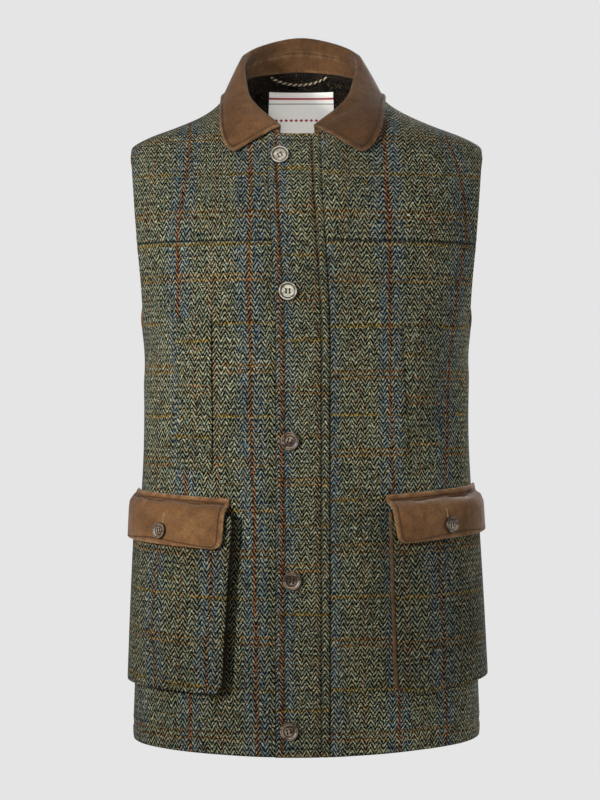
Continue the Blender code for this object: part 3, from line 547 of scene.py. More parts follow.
def makeTweed(name, shade=1.0, seamShade=0.3, rustShare=0.85, groove=None):
    material, add = startMaterial(name, 0.92, 0.08, 0.05)
    look = tweedLook
    place = add("TexCoord").outputs["Object"]
    noises = [add("TexNoise", Vector=place, Scale=scale, Detail=2.0).outputs["Color"] for scale, _ in look["wavers"]]
    strays = [add("VectorMath", "MULTIPLY_ADD", noise, (waver, waver, 0), (-waver / 2, -waver / 2, 0))
              for noise, (_, waver) in zip(noises, look["wavers"])]
    shift = add("VectorMath", "ADD", *strays)
    slow = add("SeparateColor", (), noises[0]).outputs
    weave, check = (add("VectorMath", "MULTIPLY_ADD", add("UVMap", {"uv_map": layer}), (1000.0, 1000.0, 0), shift)
                    for layer in ("weave", "grain"))

    # zigzag ribs of light and dark yarn
    across, along, _ = add("SeparateXYZ", (), weave).outputs
    slant = add("Math", "MULTIPLY", add("Math", "PINGPONG", across, look["rib"]), look["slant"] / look["rib"])
    phase = add("Math", "ADD", slant, add("Math", "DIVIDE", along, look["rise"]))
    yarns = add("TexVoronoi", Vector=weave, Scale=look["yarnCell"], Randomness=0.9)
    yarn = add("SeparateColor", (), yarns.outputs["Color"]).outputs
    lengths = add("Mapping", Vector=weave, Scale=look["yarnLength"])
    runs = add("TexNoise", Vector=lengths, Scale=1.0, Detail=3.0, Roughness=0.7)
    run = add("SeparateColor", (), runs.outputs["Color"]).outputs
    rough = add("Math", "MULTIPLY_ADD", yarn[0], 0.2, -0.1)
    broken = add("Math", "ADD", add("Math", "PINGPONG", phase, 0.5), rough)
    twill = add("MapRange", "SMOOTHSTEP", broken, 0.19, 0.37)

    # the check: rust lines down it with blue beside them, and gold and tan lines across it that come and go
    x, y, _ = add("SeparateXYZ", (), check).outputs
    rustHalf, mustardHalf = look["rustEvery"] / 2, look["mustardEvery"] / 2
    aside = add("Math", "PINGPONG", x, rustHalf)
    above = add("Math", "PINGPONG", y, mustardHalf)
    fromPair = add("Math", "SUBTRACT", mustardHalf - look["pairApart"], above)
    worn = productOf(add, (yarn[2], 0.0, 0.3, 0.2, 1.0), (run[2], 0.3, 0.5, 0.5, 1.0))
    patchy = productOf(add, (slow[2], 0.36, 0.52, 0.4, 1.0), worn)
    rustLine = productOf(add, (aside, *look["rustEdge"], 0.0, rustShare), (yarn[2], 0.1, 0.45, 0.25, 1.0),
                         (slow[1], 0.34, 0.5, 0.65, 1.0))
    halfEdge = [rustHalf - distance for distance in look["halfEdge"]]
    halfRust = productOf(add, (aside, *halfEdge, 0.0, look["halfShare"]), worn)
    goldLine = productOf(add, (above, *look["goldEdge"]), patchy)
    tanPair = productOf(add, (add("Math", "ABSOLUTE", fromPair), *look["rustEdge"], 0.0, look["tanShare"]), patchy)
    blueBand = productOf(add, (aside, *look["blueInner"]), (aside, *look["blueOuter"]), look["blueShare"],
                         (run[1], 0.4, 0.58))

    # heather yarns: each stretch of yarn takes one of the dyed wools
    wools = []
    for kind, cell, cellShare, start, stretch, stretchShare in (("light", yarn[1], 0.85, -0.56, run[0], 1.3),
                                                                ("dark", yarn[2], 0.8, -0.5, run[1], 1.2)):
        pick = add("Math", "MULTIPLY_ADD", cell, cellShare, start)
        pick = add("Math", "MULTIPLY_ADD", stretch, stretchShare, pick)
        dyes = [(at, linearColour(code, shade)) for at, code in look[kind + "Yarns"]]
        band = productOf(add, blueBand, 0.5) if kind == "light" else blueBand
        wool = add("ValToRGB", {"stops": dyes}, pick)
        wools.append(add("Mix", "MIX", band, wool, linearColour(look[kind + "Blue"], shade)))
    cloth = add("Mix", "MIX", twill, wools[1], wools[0])
    for line, dark, light in ((tanPair, "darkTan", "tan"), (halfRust, "darkRust", "rust"),
                              (goldLine, "darkMustard", "mustard"), (rustLine, "darkRust", "rust")):
        dyed = add("Mix", "MIX", twill, linearColour(look[dark], shade), linearColour(look[light], shade))
        cloth = add("Mix", "MIX", line, cloth, dyed)

    # single yarns vary, the cloth fades a little in places, and painted shade darkens the cloth along seams and edges
    edge = add("Attribute", {"attribute_name": "edge"}).outputs["Fac"]
    fade = add("TexNoise", Vector=place, Scale=look["fadeScale"], Detail=3.0)
    bright = [add("MapRange", "LINEAR", yarn[0], 0.0, 1.0, 1 - look["fleck"], 1 + look["fleck"]),
              add("MapRange", "LINEAR", fade, 0.3, 0.7, 1 - look["fade"], 1 + look["fade"]),
              (edge, 0.3, look["seamWidth"], seamShade, 1.0)]
    if groove:
        # painted shade along the stitched groove at this distance from the edge
        fromGroove = add("Math", "ABSOLUTE", add("Math", "SUBTRACT", edge, groove))
        bright.append((fromGroove, 0.5, 2.4, 0.5, 1.0))
    cloth = add("Mix", "MULTIPLY", 1.0, cloth, productOf(add, *bright))
    height = add("Math", "MULTIPLY_ADD", yarns.outputs["Distance"], -0.5, twill)
    return finishMaterial(material, add, cloth, height, 0.8, look["relief"])


# Brushed cotton moleskin: a short thick nap that scatters light, paler along worn edges
moleskinLook = {
    "colour": "#8c643f", "shade": "#5f4026", "worn": "#b99066", "wearWidth": 4.5,
    "wideScale": 22.0, "patchScale": 110.0, "napScale": 900.0, "patchDepth": 0.18, "napDepth": 0.34, "relief": 0.0005,
}


def makeMoleskin(name, shade=1.0, stitchIn=5.3, shadedSideLevel=1.0, foldAt=None):
    material, add = startMaterial(name, 0.88, 0.15, 0.25 * min(shade * 1.4, 1.0), 0.4)
    look = moleskinLook
    place = add("TexCoord").outputs["Object"]
    edge = add("Attribute", {"attribute_name": "edge"}).outputs["Fac"]
    wide = add("TexNoise", Vector=place, Scale=look["wideScale"], Detail=5.0, Roughness=0.65)
    patch = add("TexNoise", Vector=place, Scale=look["patchScale"], Detail=4.0)
    nap = add("TexNoise", Vector=place, Scale=look["napScale"], Detail=2.0)
    worn = productOf(add, add("MapRange", "LINEAR", edge, look["wearWidth"], 0.2, 0.0, 0.7),
                     add("MapRange", "LINEAR", patch, 0.35, 0.65))
    plain, dark, pale = (linearColour(look[key], shade) for key in ("colour", "shade", "worn"))
    body = add("Mix", "MIX", add("MapRange", "LINEAR", wide, 0.2, 0.66), dark, plain)
    body = add("Mix", "MIX", worn, body, pale)
    causes = [add("MapRange", "LINEAR", grit, 0.28, 0.72, 1 - depth, 1 + depth)
              for grit, depth in ((nap, look["napDepth"]), (patch, look["patchDepth"]))]

    # in front, painted shade darkens the pressed stitched line, and painted shade darkens the front on the wearer's
    # left, where the collar leaf lies in shade
    fromStitch = add("Math", "ABSOLUTE", add("Math", "SUBTRACT", edge, stitchIn))
    behind = add("MapRange", "LINEAR", add("SeparateXYZ", (), place).outputs["Y"], -0.03, 0.0)
    causes.append(add("Math", "MAXIMUM", add("MapRange", "SMOOTHSTEP", fromStitch, 0.3, 1.4, 0.5, 1.0), behind))
    # painted shade: darker on the wearer's left of the front, where the collar leaf lies in shade
    leaf = add("VectorMath", "DOT_PRODUCT", place, (1.0, -1.0, 0.0)).outputs["Value"]
    causes.append(add("MapRange", "SMOOTHSTEP", leaf, 0.07, 0.13, 1.0, shadedSideLevel))
    if foldAt:
        # painted shade: a dark uneven line in the crease under the flap's sewn band
        down = add("SeparateXYZ", (), add("UVMap", {"uv_map": "grain"})).outputs["Y"]
        down = add("Math", "MULTIPLY_ADD", down, 1000.0, -foldAt - 3.0)
        down = add("Math", "ABSOLUTE", add("Math", "MULTIPLY_ADD", patch, 6.0, down))
        causes.append(add("MapRange", "SMOOTHSTEP", down, 0.2, 2.2, 0.5, 1.0))
    for cause in causes:
        body = add("Mix", "MULTIPLY", 1.0, body, cause)
    return finishMaterial(material, add, body, add("Math", "MULTIPLY_ADD", patch, 2.0, nap), 0.6, look["relief"])


# Woven viscose lining, near black with a dim scroll, so it has a low soft shine
liningLook = {"ground": "#0b0807", "scroll": "#463c2e", "plain": 0.62, "shiny": 0.45,
              "scrollScale": 55.0, "scrollEdge": (0.014, 0.003), "threadScale": 700.0, "relief": 0.0002}


def makeLining(name):
    material, add = startMaterial(name, 0.55, 0.06)
    look = liningLook
    place = add("TexCoord").outputs["Object"]
    swirl = add("TexNoise", Vector=place, Scale=look["scrollScale"], Detail=1.0, Distortion=2.2)
    scroll = add("MapRange", "SMOOTHSTEP", add("Math", "PINGPONG", swirl, 0.06), *look["scrollEdge"])
    thread = add("TexNoise", Vector=place, Scale=look["threadScale"])
    tone = add("Mix", "MIX", scroll, linearColour(look["ground"]), linearColour(look["scroll"]))
    tone = add("Mix", "MULTIPLY", 1.0, tone, add("MapRange", "LINEAR", thread, 0.3, 0.7, 0.8, 1.2))
    shine = add("MapRange", "LINEAR", scroll, 0.0, 1.0, look["plain"], look["shiny"])
    setShader(material, {"Roughness": shine})
    return finishMaterial(material, add, tone, thread, 0.3, look["relief"])


# Turned and polished horn: clouded along the grain, with a soft gloss. Its rings of brightness are partly the horn's
# own turned rings and partly painted light: a painted highlight on the rim's top, and painted shade inside the rim,
# round its outer edge, in the holes and underneath
def makeHorn(name, dark, pale, rings, roughness):
    material, add = startMaterial(name, roughness, 0.5)
    place = add("TexCoord").outputs["Object"]
    stretched = add("Mapping", Vector=place, Scale=(60.0, 60.0, 110.0), Rotation=(0.2, 0.7, 0.1))
    cloud = add("TexNoise", Vector=stretched, Scale=1.6, Detail=3.0, Distortion=0.8)
    tone = add("MapRange", "SMOOTHSTEP", cloud, 0.38, 0.62)
    colour = add("Mix", "MIX", tone, linearColour(dark), linearColour(pale))
    ring = add("Attribute", {"attribute_name": "ring"}).outputs["Fac"]
    # painted highlight on the rim and painted shade in rings round the button, over the horn's own rings
    ringLightShade = add("ValToRGB", {"stops": [(at, (v, v, v, 1.0)) for at, v in rings]}, ring)
    return finishMaterial(material, add, add("Mix", "MULTIPLY", 1.0, colour, ringLightShade))


# Spun polyester thread: tight twist, slightly glossy
def makeThread(name, colour):
    material, add = startMaterial(name, 0.6, 0.3, 0.1)
    noise = add("TexNoise", Vector=add("TexCoord").outputs["Object"], Scale=420.0, Detail=3.0)
    tone = add("MapRange", "LINEAR", noise, 0.3, 0.7, 0.6, 1.4)
    return finishMaterial(material, add, add("Mix", "MULTIPLY", 1.0, linearColour(colour), tone))


fillGrainTable()
scene = bpy.context.scene
tweed = makeTweed("woolTweed", 0.5)
# the pocket fronts take darker copies of the tweed: painted shade, deepest on the wearer's left pocket
shadedPocketTweed = {"right": makeTweed("woolTweedPocketShaded", 0.42, rustShare=0.7),
               "left": makeTweed("woolTweedPocketLeft", 0.36, rustShare=0.6)}
tweedSoft = makeTweed("woolTweedSoftEdge", 0.5, 0.6)
tweedPlacket = makeTweed("woolTweedPlacket", 0.5, 0.12, groove=9.5)
moleskin = makeMoleskin("brushedMoleskin", 0.47, shadedSideLevel=0.68)
# the flaps take a brighter copy of the moleskin: painted light where they stand out into the lamps
litFlapMoleskin = makeMoleskin("brushedMoleskinFlapLit", 0.77, 6.0, 0.86, 8.5)
# the gussets take darker copies of the moleskin: painted shade inside the pockets' sides, nearly black on the wearer's
# right
shadedGussetMoleskin = {"right": makeMoleskin("brushedMoleskinShade", 0.08), "left": makeMoleskin("brushedMoleskinGussetShade", 0.34)}
lining = makeLining("scrollLining")
threads = {name: makeThread(name, colour) for name, colour in (
    ("brownThread", "#4a3323"), ("darkThread", "#2b2a20"), ("paleThread", "#a58c68"), ("buttonThread", "#0a0806"),
    ("paleHighlightCord", "#c8b48c"), ("darkCord", "#17110d"))}
# rings: share of the radius and brightness
paleHorn = makeHorn("paleHorn", "#8d8674", "#cfc8b6", (
    (0, 1), (0.4, 1), (0.62, 0.85), (0.7, 0.12), (0.8, 0.06), (0.86, 0.9), (0.92, 1), (0.98, 0.06)), 0.45)
brownHorn = makeHorn("brownHorn", "#4a2f1e", "#a58f76", (
    (0, 0.9), (0.4, 0.8), (0.5, 0.1), (0.62, 0.12), (0.7, 1), (0.77, 0.8), (0.83, 0.08), (0.87, 0.3), (0.91, 1),
    (0.97, 0.08)), 0.45)
print("materials made")

allSides = dict.fromkeys(("left", "right", "first", "last"), True)
clothWall = {"tweed": 2.5, "moleskin": 2.6, "facing": 1.3, "lining": 1.0, "layerGap": 0.8, "underGap": 1.6,
             "edgeShare": 0.18}     # how thick the turned edge is, as a share of the cloth
# the hem is turned up and stitched: height of the stitch line over the edge, then what it does to the face
hemForm = {"stitch": 25.0, "groove": 1.5, "grooveWidth": 2.0, "swell": 0.5, "swellAt": 12.0, "tuck": 2.5}


def checkGrain(panel, angle, z, courseZ=None):
    # two grains in cloth millimetres: the check's, from where the panel's rust and mustard lines run,
    # and the weave's, which is even
    side = np.where(np.sin(angle) < 0, -1, 1)
    arc = side * arcAt(angle, z)
    if panel.get("back"):
        arc = side * (arcAt(np.full_like(z, math.pi), z) - arcAt(angle, z))
        u = arc + panel["shift"]
    else:
        places = []
        for number, line in panel["rust"]:
            heights, xs = zip(*sorted(line))
            x = np.interp(z, heights, xs)
            places.append((number, np.where(x < 0, -1, 1) * arcAt(angleAtX(x, z), z)))
        for (number, place), (nextNumber, nextPlace) in zip(places, places[1:]):
            part = number + (nextNumber - number) * (arc - place) / (nextPlace - place)
            u = part if place is places[0][1] else np.where(arc > place, part, u)
        u = tweedLook["rustEvery"] * u
    heights, counts = zip(*sorted(panel["courses"]))
    courseZ = z if courseZ is None else courseZ
    # over the shoulder the cloth runs on inwards, so its courses rise more than the height does
    x, y = formPoint(angle, z)[..., 0], formPoint(angle, z)[..., 1]
    below = depthAtX(x, grainTable["shoulderLevel"], panel.get("back"), 1)
    over = np.clip(below - np.abs(y), 0, None) * easeStep(z, -110, -60)
    runZ = courseZ + grainTable["overShoulder"] * over
    v = np.interp(runZ, heights, counts) * tweedLook["mustardEvery"]
    v = v + np.clip(runZ - heights[-1], 0, None) + np.clip(runZ - heights[0], None, 0)
    return np.stack([u, v, arc, runZ * panel.get("pitch", 1.0)], axis=-1)


def hemRelief(z):
    rise = z - bodyForm["hem"]
    tuckedIn = hemForm["tuck"] * np.clip(1 - rise / hemForm["stitch"], 0, 1) ** 1.5
    groove = trough(rise, hemForm["stitch"], hemForm["groove"], hemForm["grooveWidth"])
    return groove + hemForm["swell"] * swell(rise - hemForm["swellAt"], 9) - tuckedIn


def seamRelief(distance, width=6.0, rise=0.5):
    # cloth swells a little beside a seam
    return rise * swell(distance - width, width * 0.6)


def sideRows():
    height = bodyForm["underarm"] - bodyForm["hem"]
    atStitch = hemForm["stitch"] + np.array([-2.6, -1.6, -0.7, 0, 0.7, 1.6, 2.6])
    return bodyForm["hem"] + np.concatenate([closeEdge, np.arange(5, 21, 4), atStitch, np.linspace(31, height, 96)])


def pairs(angles, heights):
    return np.stack(np.broadcast_arrays(angles, heights), axis=1)


def blendGrid(inner, outer, shares):
    return between(inner[:, :1], outer[:, :1], shares), between(inner[:, 1:], outer[:, 1:], shares)


def frontGrid(innerX):
    top = bodyForm["yoke"] - bodyForm["seamGap"] / 2
    low = sideRows()
    shareUp = seamSteps(top - bodyForm["underarm"], 4.2, start=False)[1:]
    armAngle, armZ = armholeEdge(armholeShare(top) * shareUp)
    innerZ = np.concatenate([low, between(bodyForm["underarm"], top, shareUp)])
    inner = pairs(angleAtX(innerX, innerZ), innerZ)
    outer = np.concatenate([pairs(math.pi / 2 - gapAngle(low), low), pairs(armAngle, armZ)])
    angle, z = blendGrid(inner, outer, seamSteps(235.0, 4.4))
    return angle, hemRise(angle, z)


def yokeGrid(innerX):
    low = bodyForm["yoke"] + bodyForm["seamGap"] / 2
    corner = float(angleAtX(innerX, bodyForm["frontCorner"]))
    edgeZ = between(low, float(neckHeight(corner)), seamSteps(118.0, 4.4))
    edge = pairs(angleAtX(innerX, edgeZ), edgeZ)
    corner = edge[-1, 0]
    neckAngle = between(corner, math.pi / 2 - gapAngle(bodyForm["neckSide"]), seamSteps(130.0, 4.0)[1:])
    inner = np.concatenate([edge, pairs(neckAngle, neckHeight(neckAngle))])
    travelled = lengthAlong(onForm(inner[:, 0], inner[:, 1], 0))
    armAngle, armZ = armholeEdge(between(armholeShare(low), 1, travelled / travelled[-1]))
    outer = pairs(np.minimum(armAngle, math.pi / 2 - gapAngle(armZ)), armZ)
    angle, z = blendGrid(inner, outer, seamSteps(170.0, 4.4))
    angle[-1] = math.pi / 2 - gapAngle(z[-1])
    return angle, z


def backNeck(shares):
    # angles round the back of the neck, from beside its middle to the shoulder seam
    angle = np.radians(180 - 90 * shares[1:])
    angle[-1] += gapAngle(bodyForm["neckSide"])
    return angle


def backGrid():
    low = sideRows()
    neckAngle = backNeck(seamSteps(120.0, 4.5))
    centreZ = np.concatenate([low, np.linspace(bodyForm["underarm"], float(neckHeight(math.pi)), 64)[1:]])
    inner = np.concatenate([pairs(math.pi, centreZ), pairs(neckAngle, neckHeight(neckAngle))])
    armAngle, armZ = armholeEdge(np.linspace(0, 1, len(inner) - len(low) + 1)[1:], back=True)
    armAngle = np.maximum(armAngle, math.pi / 2 + gapAngle(armZ))
    outer = np.concatenate([pairs(math.pi / 2 + gapAngle(low), low), pairs(armAngle, armZ)])
    angle, z = blendGrid(inner, outer, seamSteps(235.0, 4.4, start=False))
    angle[-1] = math.pi / 2 + gapAngle(z[-1])
    return angle, hemRise(angle, z)


# Fronts and yokes. Rust lines: number, then height and distance from the middle down the panel.
# Mustard lines: height and number, where a half is a fainter pair.
frontPanels = {
    "frontRight": {
        "node": "front_right", "side": -1, "innerX": -18.0,
        "rust": ((-1, ((-154, -57.1), (-207, -60.0), (-314, -59.7), (-442, -56.1), (-548, -53.8), (-694, -51.6))),
                 (-2, ((-152, -138.9), (-206, -138.9), (-400, -131.0), (-486, -127.5), (-636, -125.0), (-694, -124)))),
        "courses": ((-147, 1), (-182, 0.5), (-231, 0), (-280, -0.5), (-331, -1), (-380, -1.5), (-432, -2), (-478, -2.5),
                    (-526, -3), (-570, -3.5), (-623, -4), (-671, -4.5)),
    },
    "frontLeft": {
        "node": "front_left", "side": 1, "innerX": 25.15, "pitch": 1.06,
        "rust": ((0, ((-153, 22.0), (-694, 24.0))),
                 (1, ((-153, 90.6), (-239, 89.3), (-314, 90.4), (-389, 92.6), (-485, 95.8), (-581, 97.9), (-694, 100))),
                 (2, ((-145, 172.4), (-194, 164.5), (-238, 159.1), (-314, 154.8), (-390, 151.3), (-694, 152)))),
        "courses": ((-147, 1), (-184, 0.5), (-234, 0), (-287, -0.5), (-329, -1), (-369, -1.5), (-420, -2), (-472, -2.5),
                    (-524, -3), (-572, -3.5), (-622, -4), (-672, -4.5)),
    },
}
yokePanels = {
    "yokeRight": {
        "node": "yoke_right", "side": -1, "innerX": -18.0,
        "rust": ((-1, ((-143, -55.4), (-100, -53.0), (-50, -51.2))),
                 (-2, ((-139, -138.9), (-92, -133.8), (-43, -127.7)))),
        "courses": ((-139, 0.2), (-115, 0.5), (-66, 1)),
    },
    "yokeLeft": {
        "node": "yoke_left", "side": 1, "innerX": 25.15,
        "rust": ((1, ((-143, 91.1), (-99, 91.1), (-24, 89.8))),
                 (2, ((-139, 174.8), (-96, 171.5), (-57, 165.2), (-30, 153.5)))),
        "courses": ((-139, 0.2), (-116, 0.5), (-66, 1)),
    },
}
placketPanel = {
    "freeX": -33.0, "seamX": 25.0, "seamTuck": 0.5, "ease": 45.0, "stitchIn": 9.5, "pitch": 1.14,
    "topZ": -27.0, "riseFrom": -80.0, "stitchDepth": 1.8, "seamDepth": 1.6, "swell": 0.9, "swellPast": 5.0,
    "rust": ((0, ((-78, -23.1), (-207, -26.9), (-526, -26.1), (-694, -26.0))),
             (1, ((-78, 50.0), (-207, 48.0), (-694, 49.0)))),
    "courses": ((-110, 1.5), (-160, 1), (-204, 0.5), (-250, 0), (-302, -0.5), (-352, -1), (-401, -1.5), (-448, -2),
                (-493, -2.5), (-542, -3), (-593, -3.5), (-644, -4)),
}
clothLayer = clothWall["layerGap"] + clothWall["tweed"]
hemLines, seamLines = [], []


def placketRise(angle, z):
    x = formPoint(angle, z)[..., 0]
    return clothLayer * (1 - easeStep(x, placketPanel["seamX"], placketPanel["seamX"] + placketPanel["ease"]))


def makePanel(name, panel, angle, z):
    isFront = name.startswith("front")
    ways = sideDistances(onForm(angle, z, 0))
    rise = seamRelief(ways["last" if isFront else "first"], 5.0, 0.4)
    if isFront:
        rise = rise + hemRelief(z)
    if panel["side"] > 0:
        rise = rise + placketRise(angle, z) + seamRelief(ways["left"])
    angle = angle * panel["side"]
    sheet = formSheet(angle, z, rise, clothWall["tweed"], checkGrain(panel, angle, z), allSides)
    sewCloth(name, panel["node"], [sheet], tweed if isFront else tweedSoft)
    return sheet


for name, panel in frontPanels.items():
    angle, z = frontGrid(panel["innerX"])
    hemLines.append(faceLine(makePanel(name, panel, angle, z), "first", hemForm["stitch"]))
for name, panel in yokePanels.items():
    makePanel(name, panel, *yokeGrid(panel["innerX"]))
print("fronts and yokes made")


def sewHalves(name, node, angle, z, rise, cloth, grains, material, turn=1.5):
    # both halves share their points down the centre back, up to where they part round the neck
    centred = np.isclose(angle[:, 0], math.pi)
    sides = {"left": ~centred, "right": True, "first": True, "last": True}
    halves = [formSheet(angle * side, z, rise, cloth, grain, sides) for side, grain in zip((1, -1), grains)]
    for key in ("middle", "normal"):
        halves[0][key][centred, 0, 0] = 0.0
        halves[1][key][centred, 0] = halves[0][key][centred, 0]
    sewCloth(name, node, halves, material, turn)
    return halves


backPanel = {"back": True, "shift": 39.0,
             "courses": ((-694, -4.7), (-600, -3.75), (-400, -1.75), (-225, 0.0), (-100, 1.25))}
angle, z = backGrid()
halves = sewHalves("backPanel", "back", angle, z, hemRelief(z), clothWall["tweed"],
                   [checkGrain(backPanel, angle * side, z) for side in (1, -1)], tweed)
hemLines.extend(faceLine(half, "first", hemForm["stitch"]) for half in halves)
print("back made")

# Placket: a strip over the right front, stitched down beside its seam
low = sideRows()
upper = between(bodyForm["underarm"], placketPanel["topZ"], seamSteps(213.0, 4.4, start=False)[1:])
levels = np.concatenate([low, upper])
width = placketPanel["seamX"] + placketPanel["seamTuck"] - placketPanel["freeX"]
stitchAt = width - placketPanel["stitchIn"]
across = np.unique(np.concatenate([seamSteps(width, 3.6) * width,
                                   stitchAt + np.array([-2, -1.2, -0.5, 0, 0.5, 1.2, 2])]))
across = across[np.concatenate([[True], np.diff(across) > 0.3])]    # leaves out columns that nearly meet
xs = placketPanel["freeX"] + across
x, z = np.meshgrid(xs, levels)
top = neckHeight(angleAtX(xs, bodyForm["frontCorner"]))
z = z + (top - placketPanel["topZ"]) * easeStep(z, placketPanel["riseFrom"], placketPanel["topZ"])
angle = angleAtX(x, z)
z = hemRise(angle, z)
rise = clothLayer + hemRelief(z) + trough(across, stitchAt, placketPanel["stitchDepth"], 1.6)
rise = rise + trough(across, stitchAt + placketPanel["swellPast"], -placketPanel["swell"], 3.0)
rise = rise + trough(across, width, placketPanel["seamDepth"], 3.0)
placketSheet = formSheet(angle, z, rise, clothWall["tweed"], checkGrain(placketPanel, angle, z), allSides)
sewCloth("placketStrip", "placket", [placketSheet], tweedPlacket)
hemLines.append(faceLine(placketSheet, "first", hemForm["stitch"]))
seamLines.append(faceLine(placketSheet, "right", placketPanel["stitchIn"]))
print("placket made")

# Armhole facings, and the lining of the upper back
facingLook = {
    "width": 25.0, "start": 0.6, "rows": 120, "length": 520.0, "ripples": 9, "ripple": 0.21, "sink": 0.2,
    # at the low front it shows past the edge: how far it rolls out and stands off, and where
    "rollOut": 3.6, "flare": 6.0, "rollZ": -226.0, "rollSpan": 22.0, "rollIn": 6.0,
}


def rollShare(z, move):
    # 1 on the facing's edge at the low front, and 0 away from there
    inFront = np.arange(len(z)) <= len(z) // 2
    inFront = inFront.reshape(-1, *[1] * (z.ndim - 1))
    near = swell(z - facingLook["rollZ"], facingLook["rollSpan"]) * inFront
    return near * np.clip(1 - (move - facingLook["start"]) / facingLook["rollIn"], 0, 1)


def armholeRing(move, steps):
    t = np.linspace(0, 1, steps)
    frontAngle, frontZ = armholeEdge(t)
    backAngle, backZ = armholeEdge(t[::-1], back=True)
    angle = np.concatenate([frontAngle[:-1], backAngle])
    z = np.concatenate([frontZ[:-1], backZ])
    edge = formPoint(angle, z)
    forward = np.roll(edge[:-1], -1, axis=0) - np.roll(edge[:-1], 1, axis=0)
    away = unit(np.cross(formNormal(angle, z), np.vstack([forward, forward[:1]])))
    for _ in range(3):      # smooths the way in round the tight ends
        away[1:-1] = (away[:-2] + away[1:-1] * 2 + away[2:]) / 4
        away[0] = away[-1] = (away[1] + away[-2]) / 2
        away = unit(away)
    moved = edge + away * (move - facingLook["rollOut"] * rollShare(z, move))[:, None]
    return angleOf(moved), moved[:, 2]


underTweed = -clothWall["tweed"] - clothWall["underGap"]
moves = between(facingLook["start"], facingLook["width"], seamSteps(24.0, 3.5))
rings = [armholeRing(move, facingLook["rows"] // 2) for move in moves]
ringAngle, ringZ = (np.stack([ring[k] for ring in rings], axis=1) for k in (0, 1))
down = np.linspace(0, 1, len(ringZ))[:, None]
ripple = facingLook["ripple"] * np.sin(2 * math.pi * facingLook["ripples"] * down)
ripple = ripple * np.sin(np.linspace(0, math.pi, len(moves)))
rise = underTweed - facingLook["sink"] + ripple + facingLook["flare"] * rollShare(ringZ, moves)
grain = np.stack(np.broadcast_arrays(moves, facingLook["length"] * down), axis=-1)
for side, title in ((1, "Left"), (-1, "Right")):
    sheet = formSheet(ringAngle * side, ringZ, rise, clothWall["facing"], grain, {"left": True, "right": True})
    sewCloth("armholeFacing" + title, "armhole_facing_" + title.lower(), [sheet], moleskin, 0.8)

liningForm = {"lowZ": -272.0, "overSeam": 0.4, "armholeRows": 16}
outAngle, outZ = (ring[liningForm["armholeRows"] - 1:][::-1]
                  for ring in armholeRing(facingLook["width"] + 1.0, liningForm["armholeRows"]))
outAngle = np.maximum(outAngle, math.pi / 2 + gapAngle(outZ))
outAngle = np.concatenate([[math.pi / 2 + float(gapAngle(liningForm["lowZ"]))], outAngle])
outZ = np.concatenate([[liningForm["lowZ"]], outZ])
neckAngle = backNeck(np.linspace(0, 1, 26))
centreZ = np.linspace(liningForm["lowZ"], float(neckHeight(math.pi)) + liningForm["overSeam"], 72)
inner = np.concatenate([pairs(math.pi, centreZ), pairs(neckAngle, neckHeight(neckAngle) + liningForm["overSeam"])])
steps = np.linspace(0, len(outZ) - 1, len(inner))
outer = pairs(*(np.interp(steps, np.arange(len(outZ)), values) for values in (outAngle, outZ)))
angle, z = blendGrid(inner, outer, seamSteps(160.0, 5.0, start=False))
angle[-1] = math.pi / 2 + gapAngle(z[-1])
sewHalves("upperBackLining", "back_lining", angle, z, underTweed, clothWall["lining"],
          [np.stack([(angle - math.pi) * side * 120, z], axis=-1) for side in (1, -1)], lining, 0.6)
print("facings and lining made")

# Collar: a stand sewn to the neck, and a fall that rolls over it and opens at the front
collarForm = {
    # degrees round the neck, radius and height of the roll, then the outer edge
    "points": ((10.5, 100.5, -20.6, 71, -112, -48), (18, 96, -11.5, 80, -107, -38), (28, 90, -1, 87, -95, -21),
               (39, 85, 12.5, 90, -70, -1), (55, 73.5, 33, 90.5, -38, 15), (83, 65, 60, 88.5, -4, 24),
               (115, 62.5, 76.5, 84, 34, 29), (139, 61, 87, 63, 62, 35), (180, 59, 96.5, 0, 80, 40),
               (221, 61, 87, -63, 62, 35)),
    "startsAt": 10.5, "standShare": 0.6, "rollRadius": 2.6, "bulge": 1.5, "gap": 1.6, "placketClear": 1.2,
    "stitchIn": 5.3, "stitchDepth": 0.9, "edgeSwell": 0.45, "tipRadius": 7.0, "depth": 62.0,
    "free": 8.0,            # height over the neck seam from which the fall no longer rests on the body
    # soft creases of the fall: degrees round and share down at both ends, width in degrees, rise in mm
    "creases": ((20, 0.2, 27, 0.8, 4, -0.7), (38, 0.15, 44, 0.7, 5, -0.6), (60, 0.3, 66, 0.9, 6, 0.6),
                (95, 0.2, 88, 0.8, 6, -0.6), (125, 0.2, 131, 0.9, 8, 0.6), (160, 0.1, 155, 0.8, 9, -0.5)),
}
spread = np.radians(between(collarForm["startsAt"], 180, seamSteps(235.0, 4.0, end=False)))
degrees = np.degrees(spread)
columns = list(zip(*collarForm["points"]))
rollRadius, rollZ, edgeX, edgeY, edgeZ = (curveThrough(degrees, columns[0], columns[k]) for k in range(1, 6))
roll = np.stack([rollRadius * np.sin(spread), -rollRadius * np.cos(spread), rollZ], axis=1)
fallEdge = np.stack([edgeX, edgeY, edgeZ], axis=1)
seamZ = neckHeight(spread)
seam, normal = formPoint(spread, seamZ), formNormal(spread, seamZ)
roundNeck = np.gradient(seam, axis=0)
up = unit(np.cross(roundNeck, normal))
up = np.where(up[:, 2:] < 0, -up, up)
foot = seam + up * bodyForm["seamGap"]
wall = roll - foot
height = np.linalg.norm(wall, axis=1, keepdims=True)
wall = wall / height
outward = unit(np.cross(roundNeck, wall))
outward = np.where(np.sum(outward * normal, axis=1, keepdims=True) < 0, -outward, outward)
thick = clothWall["moleskin"]

